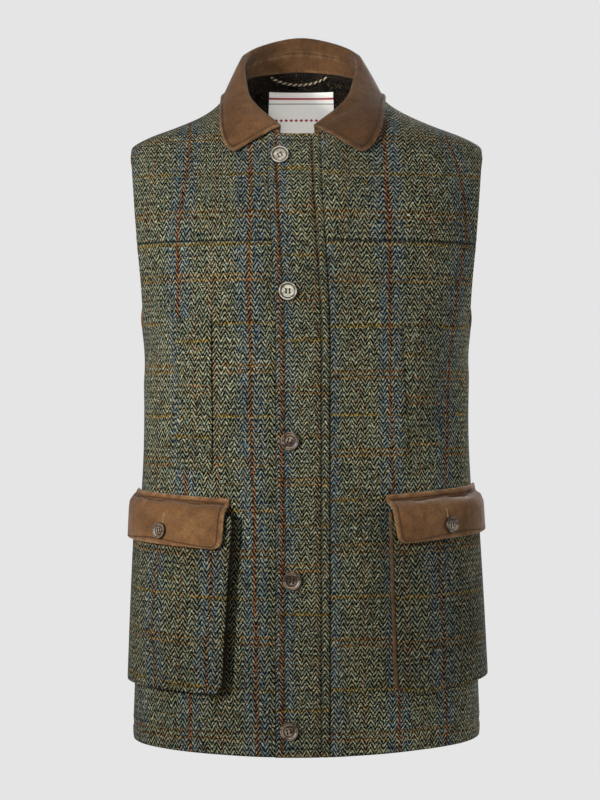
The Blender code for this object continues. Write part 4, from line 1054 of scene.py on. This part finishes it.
standRows, standNormals = [], []
for share in seamSteps(30.0, 3.0):
    mitre = np.interp(share, (0, 0.5, 1), (1.0, 0.3, 0.0))
    direction = outward * (1 - mitre) + normal * mitre
    shift = np.interp(share, (0, 1), (0.0, -bodyForm["seamGap"] / 2))
    outerFace = foot + wall * (height * collarForm["standShare"] * share + shift)
    standRows.append(outerFace - direction * thick / 2)
    standNormals.append(direction)
radius = np.minimum(collarForm["rollRadius"], height * 0.5)
centreOfWall = -outward * thick / 2
upShares = (collarForm["standShare"], 0.63, 0.68, 0.74, 0.82, 0.91)
fallRows = [foot + wall * height * share + centreOfWall for share in upShares]
fallRows[0] = foot + wall * (height * upShares[0] + bodyForm["seamGap"] / 2) + centreOfWall
for turn in np.radians((0, 25, 50, 75, 100, 125, 150)):
    fallRows.append(roll + centreOfWall + wall * (radius * math.sin(turn)) + outward * (radius * (1 - math.cos(turn))))
start, rolled = fallRows[-1], len(fallRows)
extra = 1 - np.array([3.4, 4.4, 5.3, 6.2, 7.4]) / collarForm["depth"]       # rows beside the stitches
downShares = np.unique(np.concatenate([seamSteps(collarForm["depth"], 3.4, start=False)[1:], extra]))
for share in downShares:
    bulge = collarForm["bulge"] * math.sin(math.pi * share) * np.minimum(height / 30, 1)
    fallRows.append(between(start, fallEdge, share) + outward * bulge)
fall = np.stack(fallRows, axis=0)
hangs = slice(rolled - 1, None)
fall[hangs] = roundCorner(fall, collarForm["tipRadius"])[hangs]
nearFront = 1 - easeStep(np.abs(fall[hangs, :, 0]), 40, 80)
clear = between(collarForm["gap"], clothLayer + collarForm["placketClear"], nearFront) + thick / 2
for _ in range(4):
    # lifts the hanging rows off the body until they clear it
    points = fall[hangs]
    angle, z = angleOf(points), points[..., 2]
    away = formNormal(angle, z)
    high = np.sum((points - formPoint(angle, z)) * away, axis=-1)
    rests = 1 - easeStep(z - neckHeight(angle), 0, collarForm["free"])
    fall[hangs] = points + away * (np.maximum(clear - high, 0) * rests)[..., None]
downShare = np.concatenate([np.zeros(rolled), downShares])[:, None]
crease = lineRelief(degrees, downShare * 60.0,
                    [(a, s * 60, b, e * 60, width, rise) for a, s, b, e, width, rise in collarForm["creases"]])
way = sideDistances(fall)
nearStitch = np.minimum(way["left"], way["last"])
sewn = trough(nearStitch, collarForm["stitchIn"], collarForm["stitchDepth"], 1.2)
sewn = sewn + trough(nearStitch, 2.4, -collarForm["edgeSwell"], 1.6)
crease = crease + sewn * (np.arange(len(fall))[:, None] >= rolled)


def mirrorHalf(sheet):
    flip = np.array([-1.0, 1.0, 1.0])
    sheet["middle"][:, -1, 0] = 0.0
    sheet["normal"][:, -1, 0] = 0.0
    other = dict(sheet)
    other["middle"], other["normal"] = sheet["middle"] * flip, sheet["normal"] * flip
    return other


def flatGrain(points):
    way = sideDistances(points)
    return np.stack([way["left"], way["first"]], axis=-1)


freeSides = {"left": True, "first": True, "last": True}
standMiddle = np.stack(standRows, axis=0)
stand = {"middle": standMiddle, "normal": np.stack(standNormals, axis=0), "grain": flatGrain(standMiddle),
         "edge": edgeDistance(standMiddle, freeSides), "half": thick / 2}
sewCloth("collarStand", "collar_stand", [stand, mirrorHalf(stand)], moleskin)
fallSheet = freeSheet(fall, thick, flatGrain(fall), freeSides)
fallSheet["normal"] = fallSheet["normal"] * np.sign(np.sum(fallSheet["normal"][-5] * outward, axis=-1).mean())
fallSheet["middle"] = fallSheet["middle"] + fallSheet["normal"] * crease[..., None]
mirrored = mirrorHalf(fallSheet)
sewCloth("collarFall", "collar_fall", [fallSheet, mirrored], moleskin, 1.3)
collarLines = [faceLine(s, side, collarForm["stitchIn"], clear) for s in (fallSheet, mirrored)
               for side, clear in (("last", ("left",)), ("left", ("last",)))]
print("collar made")

# Bellows pockets: sewn on at their edges, and standing off the front at four corners
pocketForms = {
    "right": {"side": -1, "innerX": 74.5, "innerLowX": 85.5, "outerY": -22, "topZ": -419.5, "outerRise": 8,
              "bottomZ": -627, "bottomRise": 6, "innerTop": 15.5, "innerLow": 17, "outerTop": 7, "outerLow": 8.5,
              "flapLate": -0.6, "flapIn": 8.2, "flapLowIn": 9, "flapDrop": 55, "flapOuterDrop": 52, "buttonShare": 0.45,
              "slope": 11.0,
              "rust": ((-2, ((-440, -95.0), (-474, -95.8), (-523, -96.9), (-562, -99.8), (-593, -101.3),
                             (-622, -100.5))),
                       (-3, ((-440, -151.0), (-473, -151.8), (-502, -153.2), (-543, -154.5), (-567, -156.1),
                             (-604, -154.2)))),
              "courses": ((-479, -2.5), (-526, -3), (-573.5, -3.5), (-620.5, -4)),
              "creases": ((40, 30, 70, 90, 14, 1.0), (95, 20, 88, 75, 12, -1.1), (120, 70, 138, 130, 12, 0.9),
                          (20, 110, 46, 140, 10, -0.9), (70, 120, 100, 142, 12, 0.8), (140, 25, 128, 60, 10, -0.8))},
    "left": {"side": 1, "innerX": 86, "innerLowX": 92, "outerY": -22, "topZ": -415, "outerRise": 10, "bottomZ": -628,
             "bottomRise": 13, "innerTop": 15, "innerLow": 20, "outerTop": 6.5, "outerLow": 11.5,
             "flapLate": 2.5, "flapIn": -2.2, "flapLowIn": 5, "flapDrop": 53, "flapOuterDrop": 50, "buttonShare": 0.41,
             "slope": 6.0,
             "rust": ((2, ((-440, 133.0), (-485, 133.7), (-507, 134.5), (-538, 135.3), (-570, 137.7), (-621, 136.8))),
                      (1, ((-440, 62.0), (-621, 66.0)))),
             "courses": ((-473, -2.5), (-525.5, -3), (-576.5, -3.5), (-624.5, -4)),
             "creases": ((30, 20, 54, 84, 13, -1.0), (84, 34, 76, 96, 12, 1.1), (110, 60, 130, 118, 12, -0.9),
                         (18, 100, 40, 138, 11, 0.8), (66, 118, 98, 140, 12, -0.8), (140, 20, 130, 70, 10, 0.8))},
}
pocketCut = {"width": 165.0, "crown": 4.0, "mouthDrop": 18.0, "corner": 12.0, "gussetCloth": 1.2, "gussetFold": 5.0,
             "gussetInset": 1.8, "gussetFoot": 0.9, "gussetTop": 1.1}
# flapLate: how much later a flap lifts off the body at its outer end than at its inner one
flapCut = {
    "drop": 58.0, "spread": 2.5, "corner": 11.0, "stitchIn": 6.0, "bandStitch": 9.6, "foldAt": 8.5, "foldDepth": 3.0,
    # how far down, share of the pocket's depth, and height over that
    "rows": ((0, 0.0, 2.1), (3, 0.01, 2.2), (6, 0.04, 2.3), (11, 0.45, 3.4), (16, 0.90, 4.4), (24, 1.0, 4.7),
             (42, 1.0, 4.8), (51, 1.0, 4.7), (55.5, 1.0, 4.6), (58, 1.0, 4.5)),
    "creases": ((24, 14, 40, 44, 9, -0.8), (58, 16, 52, 46, 9, 0.7), (110, 14, 104, 40, 9, -0.7),
                (140, 18, 128, 50, 10, 0.7), (78, 18, 84, 34, 7, -0.6)),
}


def pocketLow(pocket, z):
    return np.clip((pocket["topZ"] - z) / (pocket["topZ"] - pocket["bottomZ"]), 0, 1)


def pocketPlace(pocket, share, z):
    inner = angleAtX(between(pocket["innerX"], pocket["innerLowX"], pocketLow(pocket, z)), z)
    return between(inner, angleAtY(np.full_like(z, pocket["outerY"]), z), share)


def pocketStandoff(pocket, share, z):
    low = pocketLow(pocket, z)
    crown = pocketCut["crown"] * np.sin(math.pi * np.clip(share, 0, 1)) * np.sin(math.pi * low)
    return between(between(pocket["innerTop"], pocket["innerLow"], low),
                   between(pocket["outerTop"], pocket["outerLow"], low), share) + crown


def cornerInset(distance, radius):
    near = np.clip(distance, 0, radius)
    return radius - np.sqrt(radius ** 2 - (radius - near) ** 2)


def makePocket(name, pocket):
    depth = pocket["topZ"] - pocketCut["mouthDrop"] - pocket["bottomZ"]
    corner = pocketCut["corner"]
    straight = np.concatenate([closeEdge, np.linspace(nextRow, depth - corner, 44)])
    bent = depth - corner + corner * np.sin(np.radians((15, 30, 45, 58, 70, 80, 90)))
    levels = np.concatenate([straight, bent]) / depth
    inset = cornerInset((1 - levels) * depth, corner) / pocketCut["width"]
    share = between(inset[:, None], 1 - inset[:, None], seamSteps(pocketCut["width"], 3.8))
    mouth = pocket["topZ"] - pocketCut["mouthDrop"] + pocket["outerRise"] * share
    bottom = pocket["bottomZ"] + pocket["bottomRise"] * share
    z = between(mouth, bottom, levels[:, None])
    angle = pocketPlace(pocket, share, z) * pocket["side"]
    out = pocketStandoff(pocket, share, z)
    out = out + lineRelief(share * pocketCut["width"], levels[:, None] * depth, pocket["creases"])
    grain = checkGrain(pocket, angle, z, z - pocket["slope"] * share)
    sheet = formSheet(angle, z, out, clothWall["tweed"], grain, allSides)
    title = name.capitalize()
    sewCloth("pocketFront" + title, "pocket_front_" + name, [sheet], shadedPocketTweed[name], 2.2)

    # gusset: down the inner side, along the bottom and up the outer side, folded in half its height
    edgeShare, edgeZ = (np.concatenate([grid[:, 0], grid[-1, 1:-1], grid[::-1, -1]]) for grid in (share, z))
    pull = np.sign(0.5 - edgeShare) * (np.abs(edgeShare - 0.5) > 0.3)
    atBottom = np.clip((edgeZ - pocket["bottomZ"] - pocket["bottomRise"] * edgeShare) / corner, 0, 1)
    rows = []
    for rise in np.linspace(0, 1, 13):
        fold = math.sin(math.pi * rise) ** 1.4 * pocketCut["gussetFold"]
        movedShare = edgeShare + pull * (pocketCut["gussetInset"] + fold * atBottom) / pocketCut["width"]
        movedZ = edgeZ + (1 - atBottom) * (pocketCut["gussetInset"] + fold)
        place = pocketPlace(pocket, movedShare, movedZ) * pocket["side"]
        top = pocketStandoff(pocket, movedShare, movedZ) - clothWall["tweed"] - pocketCut["gussetTop"]
        rows.append(onForm(place, movedZ, between(pocketCut["gussetFoot"], top, rise)))
    middle = np.stack(rows, axis=0)
    gusset = freeSheet(middle, pocketCut["gussetCloth"], flatGrain(middle), allSides)
    sewCloth("pocketGusset" + title, "pocket_gusset_" + name, [gusset], shadedGussetMoleskin[name], 0.6)


def flapPoints(pocket, across, drops):
    tableDrop, tableShare, tableLift = zip(*flapCut["rows"])
    rows = []
    for drop in drops:
        down = drop / flapCut["drop"]
        inset = float(cornerInset(flapCut["drop"] - drop, flapCut["corner"]))
        start = (between(pocket["flapIn"], pocket["flapLowIn"], down) + inset) / pocketCut["width"]
        share = between(start, 1 + (flapCut["spread"] - inset) / pocketCut["width"], across)
        z = pocket["topZ"] - between(pocket["flapDrop"], pocket["flapOuterDrop"], share) * down
        z = z + pocket["outerRise"] * share
        stands = np.interp(drop, tableDrop, tableShare) ** (1 + pocket["flapLate"] * np.clip(share, 0, 1))
        out = pocketStandoff(pocket, share, z - 12) * stands + np.interp(drop, tableDrop, tableLift)
        rows.append(onForm(pocketPlace(pocket, share, z) * pocket["side"], z, out))
    return np.stack(rows, axis=0)


flapLines = []


def makeFlap(name, pocket):
    corner, drop = flapCut["corner"], flapCut["drop"]
    drops = np.concatenate([closeEdge, np.linspace(nextRow, 11, 8), np.linspace(13, drop - corner, 12),
                            drop - corner + corner * np.sin(np.radians((12, 24, 35, 45, 55, 64, 72, 80, 85, 90)))])
    across = seamSteps(pocketCut["width"] + 5, 3.4)
    extra = np.array([4.8, 5.4, 6.0, 6.6, 7.4]) / (pocketCut["width"] + 5)
    across = np.unique(np.concatenate([across, extra, 1 - extra]))
    middle = flapPoints(pocket, across, drops)
    middle = roundCorner(middle[::-1, ::-1], 6.0)[::-1, ::-1]
    way = sideDistances(middle)
    nearest = np.minimum(np.minimum(way["left"], way["right"]), way["last"])
    relief = trough(nearest, flapCut["stitchIn"], 0.5, 1.1) * (way["first"] > 9)
    # the uneven fold under the flap's sewn band fades out towards its outer end
    waver = 1.1 * np.sin(way["left"] / 8.5) + 0.7 * np.sin(way["left"] / 3.7 + 1.0)
    foldDepth = (flapCut["foldDepth"] + 0.9 * np.sin(way["left"] / 14.0)) * np.clip(way["right"] / 35.0 - 0.2, 0, 1)
    relief = relief + trough(way["first"] + waver, flapCut["foldAt"], 1.0, 2.0) * foldDepth
    relief = relief + trough(nearest, 2.8, -0.4, 1.8) + trough(way["first"], 4, -0.5, 2.2)
    relief = relief + lineRelief(way["left"], way["first"], flapCut["creases"])
    sheet = freeSheet(middle, clothWall["moleskin"], flatGrain(middle), allSides)
    outwards = formNormal(angleOf(middle), middle[..., 2])
    sheet["normal"] = sheet["normal"] * np.sign(np.sum(sheet["normal"] * outwards, axis=-1).mean())
    sheet["middle"] = middle + sheet["normal"] * relief[..., None]
    sewCloth("pocketFlap" + name.capitalize(), "pocket_flap_" + name, [sheet], litFlapMoleskin, 1.3)
    for side, clear in (("left", ("last",)), ("right", ("last",)), ("last", ("left", "right"))):
        points, normals = faceLine(sheet, side, flapCut["stitchIn"], clear)
        keep = points[:, 2] < points[:, 2].max() - 9 if side != "last" else points[:, 2] < 1e3
        flapLines.append((points[keep], normals[keep]))
    flapLines.append(faceLine(sheet, "first", flapCut["bandStitch"]))


for name, pocket in pocketForms.items():
    makePocket(name, pocket)
    makeFlap(name, pocket)
print("pockets and flaps made")

# Upright welts of the hand pockets
weltForms = {
    "right": {"side": -1, "innerX": 101, "innerLowX": 101, "outerX": 143, "outerLowX": 143, "topZ": -225,
              "innerLowZ": -390, "outerLowZ": -388,
              "rust": ((-1.5, ((-225, -118.5), (-390, -118.7))), (-2.5, ((-225, -172), (-390, -172)))),
              "courses": ((-250, 0), (-302, -0.5), (-353, -1))},
    "left": {"side": 1, "innerX": 102, "innerLowX": 112, "outerX": 141, "outerLowX": 146, "topZ": -234,
             "innerLowZ": -391, "outerLowZ": -377,
             "rust": ((2, ((-225, 150), (-390, 148))), (1, ((-225, 88), (-390, 92)))),
             "courses": ((-265, 0), (-314, -0.5), (-361, -1))},
}
weltCut = {"cloth": 1.5, "gap": 0.6, "crown": 0.7, "stitchIn": 3.0}
weltLines = []
for name, welt in weltForms.items():
    level = seamSteps(160.0, 4.0)[:, None]
    share = seamSteps(42.0, 3.2)[None, :]
    z = between(welt["topZ"], between(welt["innerLowZ"], welt["outerLowZ"], share), level)
    innerX, outerX = (between(welt[edge + "X"], welt[edge + "LowX"], level) for edge in ("inner", "outer"))
    x = between(innerX, outerX, share)
    angle = angleAtX(x, z) * welt["side"]
    rise = weltCut["gap"] + weltCut["cloth"] + weltCut["crown"] * np.sin(math.pi * share) * np.sin(math.pi * level)
    sheet = formSheet(angle, z, rise, weltCut["cloth"], checkGrain(welt, angle, z), allSides)
    sewCloth("welt" + name.capitalize(), "welt_" + name, [sheet], tweedSoft, 1.4)
    weltLines.extend(faceLine(sheet, side, weltCut["stitchIn"]) for side in ("first", "last"))
print("welts made")

# Buttons: turned horn with a rim, a dished floor and four holes, sewn on with thread
buttonForm = {
    "radius": 10.0, "sides": 40, "threadHole": 1.2, "holeFromMiddle": 1.9, "holeDepth": 1.5,
    # distance from the axis and height
    "profile": ((0, 0), (8.2, 0), (9.2, 0.25), (9.8, 0.9), (10, 1.8), (9.85, 2.6), (9.4, 3.1), (8.8, 3.2), (8.1, 2.9),
                (7.4, 2.35), (6.6, 1.9), (5.2, 1.75)),
    "standoff": 0.6, "threadApart": 0.22, "threadWidth": 0.7, "threadHeight": 0.6, "flapRadius": 9.0, "flapTurn": 10,
    # down the front: distance from the middle, height, turn in degrees
    "places": ((-19.0, -52.0, 30), (-18.0, -198.0, 0), (-17.6, -357.0, -20), (-15.5, -506.5, -8), (-18.5, -665.5, 14)),
    # buttonholes: where the front ones start and end beside their button and the flaps' ones down the flap,
    # then half the space between the two rows of stitches
    "hole": (-3.0, 15.0, 0.9), "flapHole": (21.0, 34.0, 0.45),
}


def makeButton(name, node, centre, normal, radius, turn, horn):
    bm = bmesh.new()
    scale = radius / buttonForm["radius"]
    rim = [bm.verts.new((r * scale, 0, h * scale)) for r, h in buttonForm["profile"]]
    lines = [bm.edges.new(pair) for pair in zip(rim, rim[1:])]
    bmesh.ops.spin(bm, geom=rim + lines, cent=(0, 0, 0), axis=(0, 0, 1), angle=2 * math.pi,
                   steps=buttonForm["sides"], use_merge=True)
    bmesh.ops.remove_doubles(bm, verts=bm.verts[:], dist=1e-4)
    floorZ = buttonForm["profile"][-1][1] * scale
    edge = [e for e in bm.edges if e.is_boundary]
    holes, far = [], buttonForm["holeFromMiddle"] * scale
    for across, along in ((-far, -far), (far, -far), (far, far), (-far, far)):
        made = bmesh.ops.create_circle(bm, segments=10, radius=buttonForm["threadHole"] * scale,
                                       matrix=Matrix.Translation((across, along, floorZ)))
        holes.append(list({e for v in made["verts"] for e in v.link_edges}))
    bmesh.ops.triangle_fill(bm, use_beauty=True, use_dissolve=False, edges=edge + sum(holes, []), normal=(0, 0, 1))
    for hole in holes:
        inside = [f for f in {f for e in hole for f in e.link_faces} if all(e in hole for e in f.edges)]
        if inside:
            bmesh.ops.delete(bm, geom=inside, context="FACES_ONLY")
        made = bmesh.ops.extrude_edge_only(bm, edges=hole)
        low = [v for v in made["geom"] if isinstance(v, bmesh.types.BMVert)]
        bmesh.ops.translate(bm, verts=low, vec=(0, 0, -buttonForm["holeDepth"] * scale))
        bmesh.ops.contextual_create(bm, geom=[e for e in made["geom"] if isinstance(e, bmesh.types.BMEdge)
                                              and all(v in low for v in e.verts)])
    bmesh.ops.recalc_face_normals(bm, faces=bm.faces[:])
    ring = bm.verts.layers.float.new("ring")
    for vert in bm.verts:
        # the floors of the holes and the underside count as the dark outer ring: painted shade in the holes and under
        # the button
        vert[ring] = 1.0 if vert.co.z < 0.3 * scale else math.hypot(vert.co.x, vert.co.y) / radius
    frameTurn = normal.to_track_quat("Z", "Y").to_matrix().to_4x4() @ Matrix.Rotation(math.radians(turn), 4, "Z")
    place = Matrix.Translation(centre) @ frameTurn @ Matrix.Scale(mm, 4)
    bmesh.ops.transform(bm, matrix=place, verts=bm.verts[:])
    mesh = meshFrom(bm, name)
    mesh.set_sharp_from_angle(angle=math.radians(42))
    placePiece(name, mesh, horn, node)

    # thread through the holes
    bm = bmesh.new()
    size = Matrix.Diagonal((buttonForm["threadWidth"], far * 2.4, buttonForm["threadHeight"], 1))
    for across in (side * far + step * buttonForm["threadApart"] for side in (-1, 1) for step in (-1, 1)):
        strand = Matrix.Translation((across, 0, floorZ + 0.1)) @ size
        bmesh.ops.create_uvsphere(bm, u_segments=8, v_segments=6, radius=0.5, matrix=place @ strand)
    placePiece(name + "Thread", meshFrom(bm, name + "Thread"), threads["buttonThread"])


def placeOn(points):
    centre, beside, above = (Vector(p) * mm for p in leanNeck(np.array(points)))
    return centre, (beside - centre).cross(above - centre).normalized()


holeLines, flapHoleLines = [], []
start, end, apart = buttonForm["hole"]
for number, (x, z, turn) in enumerate(buttonForm["places"], 1):
    xs, zs = np.array([x, x + 3.0, x]), np.array([z, z, z + 3.0])
    centre, normal = placeOn(onForm(angleAtX(xs, zs), zs, clothLayer + buttonForm["standoff"]))
    pale = number < 3
    makeButton("frontButton%d" % number, "button_%d" % number, centre, normal, buttonForm["radius"], turn,
               paleHorn if pale else brownHorn)
    for zs in (z - apart, z + apart):
        angles = angleAtX(np.linspace(x + start, x + end, 20), zs)
        holeLines.append((onForm(angles, zs, clothLayer), formNormal(angles, zs)))
start, end, apart = buttonForm["flapHole"]
for name, pocket in pocketForms.items():
    share, step = pocket["buttonShare"], 0.02 * pocket["side"]
    low, high = flapPoints(pocket, np.array([share, share + step]), (42.0, 30.0))
    centre, normal = placeOn(np.stack([low[0], low[1], high[0]]))
    makeButton("flapButton" + name.capitalize(), "flap_button_" + name,
               centre + normal * (clothWall["moleskin"] / 2 + buttonForm["standoff"]) * mm,
               normal, buttonForm["flapRadius"], buttonForm["flapTurn"], brownHorn)
    line = flapPoints(pocket, np.array([share - 0.017]), np.linspace(start, end, 12))[:, 0]
    normals = formNormal(angleOf(line), line[:, 2])
    for beside in (-apart, apart):
        flapHoleLines.append((line + normals * clothWall["moleskin"] / 2 + np.array((beside, 0, 0)), normals))
print("buttons made")

# Neck label: cream satin with plain woven rules and small diamonds
labelForm = {
    "width": 79.0, "topZ": 41.0, "lowZ": -18.0, "thickness": 0.8, "gap": 1.7,
    "cream": "#f8f5ef", "red": "#a3343a", "grey": "#8d8a86", "diamondPitch": 6.0,
    "rules": ((23.0, 0.9, "red"), (17.5, 0.35, "grey")),    # distance from the middle, half width and colour
}


def makeLabelCloth(name):
    # woven polyester satin: smooth, with a low shine across the threads
    material, add = startMaterial(name, 0.5, 0.4)
    inMm = add("VectorMath", "SCALE", add("UVMap", {"uv_map": "grain"}), Scale=1000.0)
    x, y, _ = add("SeparateXYZ", (), inMm).outputs
    fromMiddle = add("Math", "ABSOLUTE", y)
    # a red rule and a thin grey one on both sides, and a row of diamonds along the middle
    across = add("Math", "PINGPONG", x, labelForm["diamondPitch"] / 2)
    spot = add("Math", "ADD", across, add("Math", "MULTIPLY", fromMiddle, 1.2))
    colour = linearColour(labelForm["cream"])
    for place, half, dye in labelForm["rules"]:
        away = add("Math", "ABSOLUTE", add("Math", "SUBTRACT", fromMiddle, place))
        rule = add("MapRange", "SMOOTHSTEP", away, half + 0.25, half)
        colour = add("Mix", "MIX", rule, colour, linearColour(labelForm[dye]))
    diamond = add("MapRange", "SMOOTHSTEP", spot, 2.4, 2.0)
    colour = add("Mix", "MIX", diamond, colour, linearColour(labelForm["red"]))
    weave = add("TexWave", {"bands_direction": "Y"}, Vector=inMm, Scale=0.45, Distortion=0.6)
    colour = add("Mix", "MULTIPLY", 1.0, colour, add("MapRange", "LINEAR", weave, 0.0, 1.0, 0.93, 1.05))
    return finishMaterial(material, add, colour, weave, 0.3, 0.00015)


labelCloth = makeLabelCloth("satinLabel")
wide, topZ, lowZ = labelForm["width"], labelForm["topZ"], labelForm["lowZ"]
x, z = np.meshgrid((seamSteps(wide, 2.5) - 0.5) * wide, between(lowZ, topZ, seamSteps(topZ - lowZ, 2.5)))
inside = -clothWall["tweed"] - clothWall["underGap"] - clothWall["lining"] - labelForm["gap"]
curl = 0.35 * np.sin(x / 17.0 + 1.0) * np.clip((topZ - z) / 40, 0, 1)
grain = np.stack([x, z - (topZ + lowZ) / 2], axis=-1)
labelSheet = formSheet(angleAtX(x, z, back=True), z, inside + curl, labelForm["thickness"], grain, allSides)
sewCloth("neckLabel", "neck_label", [labelSheet], labelCloth, 0.4)

# Hanging loop: two cords twisted together, sewn down at both ends; the pale strand is a painted highlight running along
# the twist
loopForm = {
    "radius": 1.0, "twistEvery": 6.0,
    # distance from the middle, height, depth inside the form
    "route": ((-38, 55.5, 8.0), (-30, 52.8, 8.3), (-18, 50.4, 8.8), (-4, 49.3, 9.0), (10, 50.2, 8.8), (22, 52.6, 8.5),
              (32, 55.8, 8.0)),
}
steps = np.linspace(0, len(loopForm["route"]) - 1, 120)
x, z, deep = (curveThrough(steps, range(len(loopForm["route"])), column) for column in zip(*loopForm["route"]))
core = leanNeck(onForm(angleAtX(x, z, back=True), z, -deep))
travelled = lengthAlong(core)
ahead = unit(np.gradient(core, axis=0))
sideways = unit(np.cross(ahead, (0, 0, 1.0)))
over = np.cross(sideways, ahead)
for name, cord, phase, thickness in (("loopStrandPaleHighlight", "paleHighlightCord", 0.0, 0.75),
                                     ("loopStrandDark", "darkCord", math.pi, 1.1)):
    turn = (travelled / loopForm["twistEvery"] * 2 * math.pi + phase)[:, None]
    strand = core + (sideways * np.cos(turn) + over * np.sin(turn)) * loopForm["radius"] * 0.75
    curve = bpy.data.curves.new(name, "CURVE")
    curve.dimensions = "3D"
    curve.bevel_depth = loopForm["radius"] * thickness * mm
    curve.bevel_resolution = 2
    curve.use_fill_caps = True
    spline = curve.splines.new("POLY")
    spline.points.add(len(strand) - 1)
    for target, point in zip(spline.points, strand * mm):
        target.co = (*point, 1.0)
    helper = bpy.data.objects.new(name + "Curve", curve)
    scene.collection.objects.link(helper)
    bpy.context.view_layer.update()
    mesh = bpy.data.meshes.new_from_object(helper)
    mesh.name = name
    mesh.shade_smooth()
    bpy.data.objects.remove(helper, do_unlink=True)
    placePiece(name, mesh, threads[cord], "hanging_loop")
print("label and loop made")

# Stitching, drawn a little coarser than real thread so that it shows
for name, lines, stitch, thread, slotName in (
        ("hemStitches", hemLines, (3.4, 2.7, 0.8, 0.55), "darkThread", "herringbone_tweed"),
        ("placketStitches", seamLines, (3.4, 2.8, 0.9, 0.6), "brownThread", "brown_moleskin"),
        ("collarStitches", collarLines, (3.2, 2.5, 0.7, 0.55), "brownThread", "brown_moleskin"),
        ("flapStitches", flapLines, (3.2, 2.5, 0.7, 0.55), "brownThread", "brown_moleskin"),
        ("weltStitches", weltLines, (3.0, 2.4, 0.8, 0.55), "darkThread", "herringbone_tweed"),
        ("buttonholeStitches", holeLines, (0.95, 0.85, 1.7, 0.5), "darkThread", "herringbone_tweed"),
        ("flapHoleStitches", flapHoleLines, (0.95, 0.85, 1.2, 0.7), "paleThread", "brown_moleskin")):
    sewRows(name, lines, stitch, threads[thread])
print("stitches made")

# Camera, light and floor
cameraPlan = {"place": (0.0, -2.8, -0.3136), "lens": 112.5, "sensor": 36.0, "shift": -6.5 / 800}
camera = bpy.data.objects.new("camera", bpy.data.cameras.new("camera"))
scene.collection.objects.link(camera)
camera.location = cameraPlan["place"]
camera.rotation_euler = (math.pi / 2, 0, 0)
camera.data.lens, camera.data.sensor_width = cameraPlan["lens"], cameraPlan["sensor"]
camera.data.shift_x = cameraPlan["shift"]
scene.camera = camera

lightPlan = {
    # place, aim, size, watts, width of the beam in degrees
    "key": ((-1.7, -2.0, 0.25), (0.03, 0, -0.27), 0.4, 3.8, 40.0),
    "neck": ((-0.1, -2.0, 0.55), (-0.01, 0.05, 0.01), 0.1, 0.062, 8.0),
    "fill": ((2.2, -0.7, 0.1), (0, 0, -0.2), 1.2, 13.0, 150.0),
    "rear": ((1.2, 2.4, 1.0), (0, 0, -0.35), 1.6, 60.0, 180.0),
}
# backdropLight: the share of the backdrop's brightness that lights the body warmer; lengths in metres
studio = {"paper": "#e5e5e5", "backdropLight": 0.29, "floorZ": -0.97, "radius": 1.35, "fadeStart": 0.7, "fadeEnd": 1.3}
for name, (place, aim, size, watts, beam) in lightPlan.items():
    lamp = bpy.data.lights.new(name, "AREA")
    lamp.energy, lamp.size, lamp.spread = watts, size, math.radians(beam)
    holder = bpy.data.objects.new(name, lamp)
    scene.collection.objects.link(holder)
    holder.location = place
    holder.rotation_euler = (Vector(aim) - Vector(place)).to_track_quat("-Z", "Y").to_euler()

world = bpy.data.worlds.new("studio")
scene.world = world
world.use_nodes = True
path = addNode(world.node_tree, "LightPath")
strength = addNode(world.node_tree, "MapRange", "LINEAR", path.outputs["Is Camera Ray"], 0.0, 1.0,
                   studio["backdropLight"], 1.0)
setShader(world, {"Color": linearColour(studio["paper"]), "Strength": strength}, "Background")
scene.view_settings.view_transform = "Standard"


def makeFloor():
    # a pale disc that fades out towards its edge
    material, add = startMaterial("paleFloor", 0.8, 0.3)
    reach = add("VectorMath", "LENGTH", add("TexCoord").outputs["Object"]).outputs["Value"]
    alpha = add("MapRange", "SMOOTHSTEP", reach, studio["fadeEnd"], studio["fadeStart"])
    setShader(material, {"Base Color": linearColour(studio["paper"]), "Alpha": alpha})
    bm = bmesh.new()
    bmesh.ops.create_circle(bm, cap_ends=True, segments=96, radius=studio["radius"])
    mesh = meshFrom(bm, "floor")
    mesh.materials.append(material)
    floor = bpy.data.objects.new("floor", mesh)
    scene.collection.objects.link(floor)
    floor.location.z = studio["floorZ"]


makeFloor()
print("scene ready")
